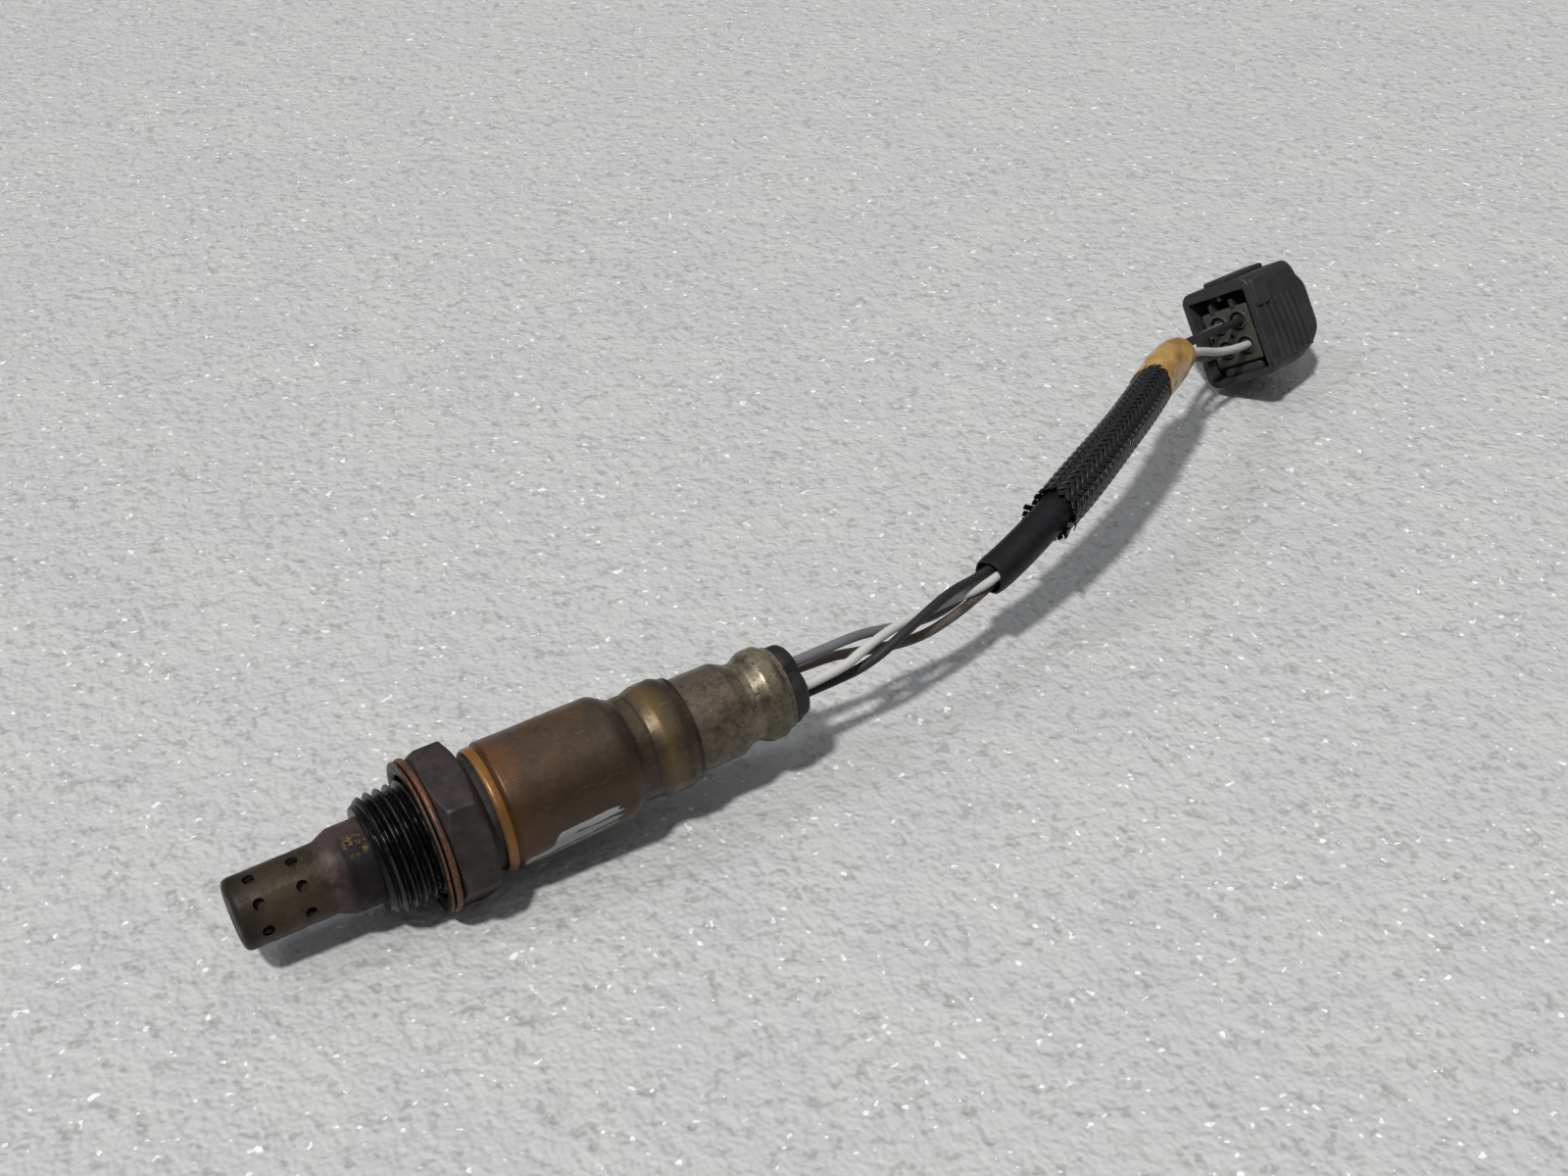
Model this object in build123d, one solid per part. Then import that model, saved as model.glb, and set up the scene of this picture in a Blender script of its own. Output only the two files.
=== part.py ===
"""Heated four-wire exhaust oxygen sensor with its lead and plug connector.

Millimetres. The sensor is built along its own axis, "s", which runs from the sealing seat (s = 0,
where the crush gasket meets the hexagon) towards the lead; the probe tip lies at negative s. Every
sensor piece is then turned to the attitude in which the sensor lies on a flat surface: on the rim
of its gasket and one corner of its hexagon, with its tail held up a little by the lead. The row's
origin is the centre of the seat, +X runs towards the lead and +Z is up.
"""

import os
from math import atan2, cos, degrees, pi, radians, sin, tan

from build123d import *

# ---------------------------------------------------------------- attitude on the surface
TAIL_UP = 3.4                 # the tail end is this many degrees higher than the tip end
HEX_TURN = 21.5               # lowest hexagon corner, degrees from straight down, towards -Y

# ---------------------------------------------------------------- threaded shell
THREAD_DIAMETER = 18.0        # M18 x 1.5
THREAD_PITCH = 1.5
THREAD_LENGTH = 9.4           # from the shell's front end to the seat
THREAD_START_DIAMETER = 15.6
THREAD_LEAD_IN = 2.5          # tapered start of the thread
RELIEF_LENGTH = 2.0           # turned-down neck behind the thread, under the gasket
RELIEF_DIAMETER = 17.2
HEX_ACROSS_FLATS = 22.0
HEX_ACROSS_CORNERS = 25.4     # corners are left almost sharp
HEX_LENGTH = 6.2
HEX_CHAMFER = 0.7
REAR_BORE = 13.4
FRONT_BORE_DEPTH = 4.4        # from the shell's front end to the internal shoulder
SHELL_LIP = 0.8               # turned-in lip that closes the packing in
SHELL_LIP_BORE = 12.0

# ---------------------------------------------------------------- crush gasket
GASKET_SLIP = 0.4             # slips freely over the thread
GASKET_WIDTH = 2.37           # from its hole to its rim
GASKET_SHEET = 0.35
GASKET_PLEAT = 0.72           # spacing of its folded layers
GASKET_LAYERS = 3
SLIP = 0.05                   # slip fit between a turned part and the sheet part around it

# ---------------------------------------------------------------- protection tubes
TUBE_DIAMETER = 10.7
TUBE_WALL = 0.8
TUBE_LENGTH = 20.0            # protruding from the shell, tip to shell
TUBE_CORNER = 1.1
ROOT_DIAMETER = 12.8
ROOT_LENGTH = 4.3
STEP_LENGTH = 1.2
TUBE_HOLE = 1.8
HOLES_PER_ROW = 8
HOLE_ROWS = (3.5, 9.7)        # distances of the rows from the tip
HOLE_TURN = 45.7              # one hole of each row, degrees above -Y
INNER_TUBE_DIAMETER = 8.2
INNER_TUBE_WALL = 0.6
INNER_TUBE_GAP = 1.6          # between the two closed ends
INNER_HOLE = 1.4
FLANGE_DIAMETER = REAR_BORE - 0.2

# ---------------------------------------------------------------- sensing element and packing
ELEMENT_DIAMETER = 5.6
ELEMENT_BORE = 3.4
ELEMENT_GAP = 1.4             # element tip to the inner tube's closed end
ELEMENT_COLLAR_DIAMETER = REAR_BORE - 0.2
ELEMENT_COLLAR_LENGTH = 4.0
ELEMENT_REAR_DIAMETER = 8.4
ELEMENT_REAR_LENGTH = 19.0
SUPPORT_RING = 1.4
TALC_LENGTH = 6.2
INSULATOR_LENGTH = 3.0
WASHER_SHEET = 0.7
HEATER_DIAMETER = 2.6
HEATER_LENGTH = 44.0
HEATER_TIP_GAP = 1.5
CONTACT_WALL = 0.3

# ---------------------------------------------------------------- casing and rear sleeve
CASING_DIAMETER = 19.6
CASING_WALL = 0.5
RING_DIAMETER = 18.9          # bead at the casing's front end
RING_WIDTH = 1.7
RING_GAP = 1.9                # hexagon to the bead
WAIST_DIAMETER = 18.5         # narrow line between the bead and the casing
BODY_START = 10.3
BODY_END = 28.6
GROOVE_START = 30.9
GROOVE_END = 33.4
BULGE_DIAMETER = 17.4
BULGE_START = 35.0
BULGE_END = 38.6
CASING_END = 40.2
SLEEVE_DIAMETER = 14.9
SLEEVE_WALL = 0.4
SLEEVE_START = 22.0
SLEEVE_SHOULDER = 48.0
CRIMP_DIAMETER = 12.6
CRIMP_START = 49.9
CRIMP_END = 51.2
END_BULGE_DIAMETER = 14.7
END_BULGE_START = 53.0
END_BULGE_END = 55.4
RIM_DIAMETER = 13.2
SLEEVE_END = 56.8

# ---------------------------------------------------------------- ceramic holder, grommet
HOLDER_START = 34.0
HOLDER_LENGTH = 12.1
HOLDER_DIAMETER = 13.2
TERMINAL_DIAMETER = 2.4
TERMINAL_START = 37.0
TERMINAL_END = 46.9
BLADE_START = 21.6
BLADE_WIDTH = 1.7
BLADE_THICKNESS = 0.4
WIRE_START = 39.5             # the wires end inside their terminals
WIRE_CORNER = 65.6            # end of each wire's straight run out of the grommet
WIRE_DIAMETER = 1.6
WIRE_CIRCLE = 6.2             # circle through the four wires where they leave the grommet
WIRE_TURN = {"grey": 80.0, "brown": -10.0, "white": 170.0, "black": 260.0}
GROMMET_END = 59.6
GROMMET_START = 47.4
GROMMET_LOBE_DIAMETER = 12.8
GROMMET_NOSE_DIAMETER = 11.4
GROMMET_SCALLOP = 3.0
SPRING_SHEET = 0.4

# ---------------------------------------------------------------- lead
SLEEVING_DIAMETER = 6.4
SLEEVING_BORE = 5.2
BRAID_DIAMETER = 8.4
BRAID_BORE = 6.5
WRAP_DIAMETER = 8.0
WRAP_BORE = 6.5
BUNDLE_CIRCLE = 2.6           # circle through the four wires inside the sleeving
BUNDLE_TURN = {"black": 75.0, "white": 165.0, "brown": 255.0, "grey": 345.0}
CORNER_SHARE = 0.45           # share of the shorter run that a corner's arc takes

# Centre line of the covered stretch of the lead, from the sleeving's mouth to the wrap's end.
SPINE = [
    (99.6, 6.4, 3.5),
    (108.0, 8.5, 5.9),
    (116.6, 11.6, 8.2),
    (125.4, 15.5, 10.0),
    (134.3, 20.1, 11.1),
    (143.2, 25.3, 11.5),
    (151.8, 31.1, 11.3),
    (160.0, 37.2, 10.6),
    (167.4, 41.6, 9.3),
]
# Free stretch of each wire, from the end of its straight run out of the grommet to the sleeving.
FREE_ROUTE = {
    "grey": [(74.0, 3.2, 5.0), (82.0, 4.3, 2.4), (90.6, 5.0, 1.5)],
    "brown": [(73.5, 2.2, 2.3), (82.0, 0.6, 2.0), (90.8, 2.7, 1.9)],
    "white": [(73.0, 0.1, 4.8), (81.0, 2.7, 4.8), (90.4, 4.7, 3.6)],
    "black": [(72.6, -1.5, 2.6), (80.4, -0.5, 5.9), (90.4, 3.4, 6.8)],
}
# Shares of the covered centre line taken by the sleeving, the braid and the wrap.
SLEEVING_SPAN = (0.0, 0.45)
BRAID_SPAN = (0.25, 0.78)
WRAP_SPAN = (0.785, 1.0)

# ---------------------------------------------------------------- connector
PLUG_WIDTH = 16.0
PLUG_HEIGHT = 19.6
PLUG_LENGTH = 20.6
PLUG_WALL = 1.4
PLUG_CORNER = 2.4
PLUG_CHIN_START = 8.5         # the bottom curves up from here to the front
PLUG_CHEEK = 2.6              # rounding of the upright front edges
PLUG_BROW = 3.7               # how far the stepped top sits back from the front
PLUG_HEADING = 17.5           # mating axis, degrees from +X towards +Y
PLUG_NOSE_DOWN = 8.0
PLUG_ROLL = 34.5
PLUG_PLACE = (188.3, 46.4)    # middle of the rear face's lower edge, X and Y
REAR_POCKET = 6.5             # depth of the open pockets round the insert at the rear
MOUTH_DEPTH = 8.5             # depth of the open mating face
RAIL_WIDTH = 5.0
RAIL_HEIGHT = 1.2
RIB_COUNT = 6
RIB_PITCH = 2.2
RIB_START = 3.0
RIB_WIDTH = 1.1
RIB_HEIGHT = 0.5
RIB_LENGTH = 11.8
RIB_FOOT = 2.0                # height of the ribs' lower ends
BOSS_LENGTH = 5.0
BOSS_HEIGHT = 5.6
BOSS_DEPTH = 0.9
BOSS_CORNER = 0.7
FOOT_LENGTH = 2.2
FOOT_HEIGHT = 1.6
INSERT_WIDTH = 10.8
INSERT_HEIGHT = 11.2
INSERT_START = 1.2
INSERT_END = 11.5
INSERT_MIDDLE = 9.0           # height of the four cavities' middle above the bottom face
CAVITY_PITCH_ACROSS = 4.6
CAVITY_PITCH_UP = 5.0
CAVITY_DIAMETER = 3.8
SEAL_LENGTH = 3.8
SEAL_RECESS = 0.6
PIN_BARREL_DIAMETER = 2.4
PIN_BARREL_LENGTH = 3.4
PIN_DIAMETER = 1.5
PIN_END = 10.9
ENTRY_STRAIGHT = 4.5          # straight stretch of each wire behind its seal

def sheet_turned(points, wall, radius):
    """Revolve a sheet-metal wall whose middle line runs through (s, r) points with rounded bends."""
    line = FilletPolyline(*points, radius=radius) if radius else Polyline(*points)
    return revolve(trace(line, line_width=wall), Axis.X)


def turned(points):
    """Revolve a closed (s, r) outline about the sensor's axis."""
    return revolve(make_face(Polyline(*points, close=True)), Axis.X)


def ring(start, end, outer, inner):
    """A plain turned ring, given by its diameters."""
    return turned([(start, inner / 2), (start, outer / 2), (end, outer / 2), (end, inner / 2)])


def at_angle(shape, degrees):
    """Turn a shape about the sensor's axis; 0 points to -Y and 90 points up."""
    return Rot(-degrees, 0, 0) * shape


def radial_hole(s, diameter, reach, degrees):
    """A round cutter that points out from the axis at the given angle."""
    cutter = Cylinder(diameter / 2, reach, align=(Align.CENTER, Align.CENTER, Align.MIN))
    return Pos(s, 0, 0) * at_angle(Rot(90, 0, 0) * cutter, degrees)


def swept_tube(path, outer, inner=0.0):
    """A round tube or rod along a path."""
    section = Circle(outer / 2)
    if inner:
        section = section - Circle(inner / 2)
    return sweep(Plane(origin=path @ 0, z_dir=path % 0) * section, path=path)


def smooth_route(points):
    """Straight runs joined by tangent arcs; returns the wire and the arcs' radii."""
    points = [Vector(*point) for point in points]
    radii = []
    for before, corner, after in zip(points, points[1:], points[2:]):
        arriving = corner - before
        leaving = after - corner
        turn = radians(arriving.get_angle(leaving))
        radii.append(CORNER_SHARE * min(arriving.length, leaving.length) / tan(turn / 2))
    return FilletPolyline(*points, radius=radii), radii


# ================================================================ threaded shell
shoulder = -THREAD_LENGTH + FRONT_BORE_DEPTH
collar_diameter = WAIST_DIAMETER - 2 * CASING_WALL - 2 * SLIP
flange_stack = TUBE_WALL + INNER_TUBE_WALL
washer_start = shoulder + flange_stack
collar_start = washer_start + WASHER_SHEET
talc_start = collar_start + ELEMENT_COLLAR_LENGTH
insulator_start = talc_start + TALC_LENGTH
packing_start = insulator_start + INSULATOR_LENGTH
lip_start = packing_start + WASHER_SHEET
shell_end = lip_start + SHELL_LIP
front_bore = ROOT_DIAMETER + 2 * SLIP
bore_corner = 0.35            # break on the internal shoulder, clear of the tube's bend

thread_radius = THREAD_DIAMETER / 2
nose = -THREAD_LENGTH
barrel = turned([
    (nose, front_bore / 2),
    (nose, THREAD_START_DIAMETER / 2),
    (nose + THREAD_LEAD_IN * 0.4, THREAD_START_DIAMETER / 2 + 0.7),
    (nose + THREAD_LEAD_IN, thread_radius),
    (-RELIEF_LENGTH, thread_radius),
    (-RELIEF_LENGTH + 0.4, RELIEF_DIAMETER / 2),
    (0, RELIEF_DIAMETER / 2),
    (0, thread_radius),
    (HEX_LENGTH, thread_radius),
    (HEX_LENGTH, collar_diameter / 2),
    (shell_end, collar_diameter / 2),
    (shell_end, SHELL_LIP_BORE / 2),
    (lip_start, SHELL_LIP_BORE / 2),
    (lip_start, REAR_BORE / 2),
    (shoulder, REAR_BORE / 2),
    (shoulder, front_bore / 2 + bore_corner),
    (shoulder - bore_corner, front_bore / 2),
])
flat_radius = HEX_ACROSS_FLATS / 2
corner_radius = HEX_ACROSS_CORNERS / 2
prism = extrude(Plane.YZ * RegularPolygon(flat_radius, 6, major_radius=False), HEX_LENGTH)
blank = turned([
    (0, thread_radius - 0.5),
    (0, flat_radius - 0.35),
    (HEX_CHAMFER, corner_radius),
    (HEX_LENGTH - HEX_CHAMFER, corner_radius),
    (HEX_LENGTH, flat_radius - 0.35),
    (HEX_LENGTH, thread_radius - 0.5),
])
first_corner = degrees(atan2(prism.vertices()[0].Z, -prism.vertices()[0].Y))
hexagon = at_angle(prism, -90 + HEX_TURN - first_corner) & blank
shell = barrel + hexagon

# ================================================================ crush gasket
gasket_inner = THREAD_DIAMETER / 2 + GASKET_SLIP
gasket_outer = gasket_inner + GASKET_WIDTH
pleat = []
for layer in range(GASKET_LAYERS):
    s = -GASKET_SHEET / 2 - SLIP - layer * GASKET_PLEAT
    ends = (gasket_inner + GASKET_SHEET, gasket_outer - GASKET_SHEET / 2)
    pleat += [(s, ends[0]), (s, ends[1])] if layer % 2 == 0 else [(s, ends[1]), (s, ends[0])]
crush_gasket = sheet_turned(pleat, GASKET_SHEET, GASKET_PLEAT * 0.3)

# ================================================================ protection tubes
tip = nose - TUBE_LENGTH
tube_radius = (TUBE_DIAMETER - TUBE_WALL) / 2
root_radius = (ROOT_DIAMETER - TUBE_WALL) / 2
root_start = nose - ROOT_LENGTH + 0.2
flange_radius = FLANGE_DIAMETER / 2
outer_protection_tube = sheet_turned([
    (tip + TUBE_WALL / 2, 0),
    (tip + TUBE_WALL / 2, tube_radius),
    (root_start - STEP_LENGTH * 2, tube_radius),
    (root_start, root_radius),
    (shoulder + TUBE_WALL / 2, root_radius),
    (shoulder + TUBE_WALL / 2, flange_radius),
], TUBE_WALL, [TUBE_CORNER, 1.2, 1.2, 0.4])
for row, row_distance in enumerate(HOLE_ROWS):
    for hole in range(HOLES_PER_ROW):
        angle = HOLE_TURN + hole * 360 / HOLES_PER_ROW
        outer_protection_tube -= radial_hole(tip + row_distance, TUBE_HOLE, TUBE_DIAMETER, angle)

inner_tip = tip + TUBE_WALL + INNER_TUBE_GAP
inner_radius = (INNER_TUBE_DIAMETER - INNER_TUBE_WALL) / 2
inner_flange = shoulder + TUBE_WALL + INNER_TUBE_WALL / 2
inner_protection_tube = sheet_turned([
    (inner_tip + INNER_TUBE_WALL / 2, 0),
    (inner_tip + INNER_TUBE_WALL / 2, inner_radius),
    (inner_flange, inner_radius),
    (inner_flange, flange_radius),
], INNER_TUBE_WALL, [0.8, 0.4])
for hole in range(6):
    inner_protection_tube -= radial_hole(-16.0, INNER_HOLE, INNER_TUBE_DIAMETER, 15 + 60 * hole)

# ================================================================ sensing element, packing, heater
element_tip = inner_tip + INNER_TUBE_WALL + ELEMENT_GAP
element_radius = ELEMENT_DIAMETER / 2
bore_radius = ELEMENT_BORE / 2
element_rear = talc_start + ELEMENT_REAR_LENGTH
element_wall = element_radius - bore_radius
sensing_element = turned([
    (element_tip, 0),
    (element_tip, element_radius * 0.5),
    (element_tip + element_radius * 0.5, element_radius),
    (collar_start - 2.0, element_radius + 0.4),
    (collar_start, element_radius + 0.9),
    (collar_start, ELEMENT_COLLAR_DIAMETER / 2),
    (talc_start, ELEMENT_COLLAR_DIAMETER / 2),
    (talc_start, ELEMENT_REAR_DIAMETER / 2),
    (element_rear, ELEMENT_REAR_DIAMETER / 2),
    (element_rear, bore_radius),
    (element_tip + element_wall + 0.8, bore_radius),
    (element_tip + element_wall, bore_radius * 0.5),
    (element_tip + element_wall, 0),
])
element_washer = ring(washer_start, collar_start, FLANGE_DIAMETER, 2 * element_radius + 2.4)
talc_packing = ring(talc_start, insulator_start, REAR_BORE, ELEMENT_REAR_DIAMETER)
insulator_ring = ring(insulator_start, packing_start, REAR_BORE - 2 * SLIP,
                      ELEMENT_REAR_DIAMETER + 2 * SLIP)
packing_washer = ring(packing_start, lip_start, REAR_BORE - 2 * SLIP, ELEMENT_REAR_DIAMETER + 0.6)

heater_tip = element_tip + element_wall + HEATER_TIP_GAP
heater_rod = Pos(heater_tip, 0, 0) * Rot(0, 90, 0) * Cylinder(
    HEATER_DIAMETER / 2, HEATER_LENGTH, align=(Align.CENTER, Align.CENTER, Align.MIN))
contact_inner = ring(element_rear - 8, element_rear + 1.5, 2 * (bore_radius - SLIP),
                     HEATER_DIAMETER + 2 * SLIP)
contact_outer = ring(element_rear - 6, element_rear + 0.4,
                     ELEMENT_REAR_DIAMETER + 2 * (SLIP + CONTACT_WALL),
                     ELEMENT_REAR_DIAMETER + 2 * SLIP)

# ================================================================ casing and rear sleeve
half_wall = CASING_WALL / 2
body_radius = CASING_DIAMETER / 2 - half_wall
bead_radius = RING_DIAMETER / 2 - half_wall
waist_radius = WAIST_DIAMETER / 2 - half_wall
groove_radius = SLEEVE_DIAMETER / 2 + SLIP + half_wall
bulge_radius = BULGE_DIAMETER / 2 - half_wall
bead_start = HEX_LENGTH + RING_GAP
bead_end = bead_start + RING_WIDTH
main_casing = sheet_turned([
    (bead_start + 0.15, waist_radius),
    (bead_start + 0.45, bead_radius),
    (bead_end - 0.2, bead_radius),
    (bead_end + 0.2, waist_radius),
    (BODY_START + 0.4, body_radius),
    (BODY_END, body_radius),
    (GROOVE_START, groove_radius),
    (GROOVE_END, groove_radius),
    (BULGE_START, bulge_radius),
    (BULGE_END, bulge_radius),
    (CASING_END - 0.8, groove_radius + 0.05),
    (CASING_END, groove_radius + 0.05),
], CASING_WALL, [0.15, 0.15, 0.1, 0.3, 2.0, 1.2, 1.0, 1.2, 1.0, 0.1])

half_sleeve = SLEEVE_WALL / 2
sleeve_radius = SLEEVE_DIAMETER / 2 - half_sleeve
flare_radius = CASING_DIAMETER / 2 - CASING_WALL - SLIP - half_sleeve
rear_sleeve = sheet_turned([
    (SLEEVE_START, flare_radius),
    (SLEEVE_START + 2.2, flare_radius),
    (SLEEVE_START + 4.4, sleeve_radius),
    (SLEEVE_SHOULDER, sleeve_radius),
    (CRIMP_START, CRIMP_DIAMETER / 2 - half_sleeve),
    (CRIMP_END, CRIMP_DIAMETER / 2 - half_sleeve),
    (END_BULGE_START, END_BULGE_DIAMETER / 2 - half_sleeve),
    (END_BULGE_END, END_BULGE_DIAMETER / 2 - half_sleeve),
    (SLEEVE_END - 0.9, RIM_DIAMETER / 2 - half_sleeve),
    (SLEEVE_END, RIM_DIAMETER / 2 - half_sleeve),
], SLEEVE_WALL, [0.9, 0.9, 1.0, 0.6, 0.6, 1.0, 0.6, 0.3])

# ================================================================ ceramic holder, terminals, grommet
holder_end = HOLDER_START + HOLDER_LENGTH
ceramic_holder = Pos(HOLDER_START, 0, 0) * Rot(0, 90, 0) * Cylinder(
    HOLDER_DIAMETER / 2, HOLDER_LENGTH, align=(Align.CENTER, Align.CENTER, Align.MIN))
spring_washer = sheet_turned(
    [(holder_end + 0.3, 4.9), (holder_end + 0.9, 6.4)], SPRING_SHEET, None)
crimp_bore = CRIMP_DIAMETER - 2 * SLEEVE_WALL - 2 * SLIP
rim_bore = RIM_DIAMETER - 2 * SLEEVE_WALL - 2 * SLIP
swell = END_BULGE_DIAMETER - 2 * SLEEVE_WALL - 0.8
grommet = turned([
    (GROMMET_START, 0),
    (GROMMET_START, crimp_bore / 2),
    (CRIMP_END + 0.4, crimp_bore / 2),
    (END_BULGE_START + 0.2, swell / 2),
    (END_BULGE_END - 0.4, swell / 2),
    (SLEEVE_END - 1.2, rim_bore / 2),
    (SLEEVE_END + SLIP, rim_bore / 2),
    (SLEEVE_END + SLIP, GROMMET_LOBE_DIAMETER / 2),
    (GROMMET_END - 1.0, GROMMET_LOBE_DIAMETER / 2),
    (GROMMET_END, GROMMET_NOSE_DIAMETER / 2),
    (GROMMET_END, 0),
])
terminals = {}
wire_offsets = {}
for colour, turn in WIRE_TURN.items():
    y = WIRE_CIRCLE / 2 * cos(radians(turn))
    z = WIRE_CIRCLE / 2 * sin(radians(turn))
    wire_offsets[colour] = (y, z)
    hole = Pos(0, y, z) * Rot(0, 90, 0)
    upwards = (Align.CENTER, Align.CENTER, Align.MIN)
    ceramic_holder -= Pos(HOLDER_START - 1, 0, 0) * hole * Cylinder(
        TERMINAL_DIAMETER / 2 + SLIP, HOLDER_LENGTH + 2, align=upwards)
    grommet -= Pos(GROMMET_START - 1, 0, 0) * hole * Cylinder(
        WIRE_DIAMETER / 2 + SLIP, GROMMET_END - GROMMET_START + 2, align=upwards)
    scallop_reach = GROMMET_LOBE_DIAMETER / 2 + GROMMET_SCALLOP * 0.22
    grommet -= at_angle(
        Pos(SLEEVE_END + SLIP, -scallop_reach, 0) * Rot(0, 90, 0)
        * Cylinder(GROMMET_SCALLOP / 2, 6, align=upwards), 180 - turn + 45)
    barrel_ring = Cylinder(TERMINAL_DIAMETER / 2, TERMINAL_END - TERMINAL_START, align=upwards)
    barrel_ring -= Pos(0, 0, 1.6) * Cylinder(
        WIRE_DIAMETER / 2 + SLIP, TERMINAL_END - TERMINAL_START, align=upwards)
    blade = Box(BLADE_THICKNESS, BLADE_WIDTH, TERMINAL_START - BLADE_START + 0.5, align=upwards)
    terminals[colour] = (
        Pos(TERMINAL_START, 0, 0) * hole * barrel_ring
        + Pos(BLADE_START, y, z) * Rot(turn, 0, 0) * Rot(0, 90, 0) * blade)

# ================================================================ turning into the resting attitude
resting = Rot(0, -TAIL_UP, 0)
sensor = {
    "outer_protection_tube": outer_protection_tube,
    "inner_protection_tube": inner_protection_tube,
    "shell": shell,
    "crush_gasket": crush_gasket,
    "sensing_element": sensing_element,
    "element_washer": element_washer,
    "talc_packing": talc_packing,
    "insulator_ring": insulator_ring,
    "packing_washer": packing_washer,
    "heater_rod": heater_rod,
    "contact_inner": contact_inner,
    "contact_outer": contact_outer,
    "main_casing": main_casing,
    "rear_sleeve": rear_sleeve,
    "ceramic_holder": ceramic_holder,
    "spring_washer": spring_washer,
    "grommet": grommet,
}
for colour, shape in terminals.items():
    sensor["terminal_" + colour] = shape
nodes = {name: resting * shape for name, shape in sensor.items()}
surface = min(nodes[name].bounding_box().min.Z for name in ("shell", "crush_gasket"))

# ================================================================ connector
heading = radians(PLUG_HEADING)
nose_down = radians(PLUG_NOSE_DOWN)
roll = radians(PLUG_ROLL)
mating = Vector(cos(heading) * cos(nose_down), sin(heading) * cos(nose_down), -sin(nose_down))
level = Vector(-sin(heading), cos(heading), 0)
upright = mating.cross(level)
plug_up = upright * cos(roll) + level * sin(roll)
centred = (Align.MIN, Align.CENTER, Align.MIN)
middle = (Align.MIN, Align.CENTER, Align.CENTER)

housing = Box(PLUG_LENGTH, PLUG_WIDTH, PLUG_HEIGHT, align=centred)
housing = fillet(housing.edges().filter_by(Axis.X), PLUG_CORNER)
bottom = Line((0, 0), (PLUG_CHIN_START, 0))
chin = ThreePointArc((PLUG_CHIN_START, 0), (PLUG_LENGTH - 4.7, 1.5), (PLUG_LENGTH - 1.0, 5.6))
front = Polyline(
    (PLUG_LENGTH - 1.0, 5.6),
    (PLUG_LENGTH, 10.9),
    (PLUG_LENGTH - 1.4, PLUG_HEIGHT - 4.6),
    (PLUG_LENGTH - PLUG_BROW, PLUG_HEIGHT - 2.2),
    (PLUG_LENGTH - PLUG_BROW - 0.6, PLUG_HEIGHT),
    (0, PLUG_HEIGHT),
    (0, 0))
side_view = extrude(Plane.XZ * make_face([bottom, chin, front]), PLUG_WIDTH, both=True)
housing &= side_view
top_view = Box(PLUG_LENGTH, PLUG_WIDTH, PLUG_HEIGHT, align=centred)
top_view = fillet(top_view.edges().filter_by(Axis.Z).group_by(Axis.X)[-1], PLUG_CHEEK)
housing &= top_view
inside = Box(PLUG_LENGTH + 2, PLUG_WIDTH - 2 * PLUG_WALL, PLUG_HEIGHT - 2 * PLUG_WALL, align=centred)
inside = Pos(-1, 0, PLUG_WALL) * fillet(inside.edges().filter_by(Axis.X), PLUG_CORNER - PLUG_WALL)
web = Pos(REAR_POCKET, 0, 0) * Box(
    PLUG_LENGTH - REAR_POCKET - MOUTH_DEPTH, PLUG_WIDTH + 2, PLUG_HEIGHT + 2, align=centred)
insert_pocket = Pos(0, 0, INSERT_MIDDLE) * Box(
    PLUG_LENGTH, INSERT_WIDTH + 2 * SLIP, INSERT_HEIGHT + 2 * SLIP, align=middle)
housing = housing - (inside - web) - insert_pocket
rail = Pos(0.8, 0, PLUG_HEIGHT - 0.2) * Box(
    PLUG_LENGTH - PLUG_BROW - 2.2, RAIL_WIDTH, RAIL_HEIGHT, align=centred)
housing += fillet(rail.edges().filter_by(Axis.X).group_by(Axis.Z)[-1], 0.5)
for index in range(RIB_COUNT):
    rib = Box(RIB_WIDTH, RIB_HEIGHT + 0.2, RIB_LENGTH, align=middle)
    for side in (-1, 1):
        housing += Pos(RIB_START + index * RIB_PITCH, side * (PLUG_WIDTH / 2 + RIB_HEIGHT / 2 - 0.1),
                       RIB_FOOT + RIB_LENGTH / 2) * rib
boss = Box(BOSS_LENGTH, BOSS_DEPTH + 1.0, BOSS_HEIGHT, align=(Align.MIN, Align.MAX, Align.MAX))
boss = Pos(0.2, 1.0 - PLUG_WIDTH / 2, PLUG_HEIGHT - 0.7) * boss
housing += fillet(boss.edges().filter_by(Axis.Z).group_by(Axis.Y)[0], BOSS_CORNER)
foot = Box(FOOT_LENGTH, 1.4, FOOT_HEIGHT, align=(Align.MIN, Align.MIN, Align.MIN))
housing += Pos(0, -PLUG_WIDTH / 2 - 0.4, 1.0) * foot

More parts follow.
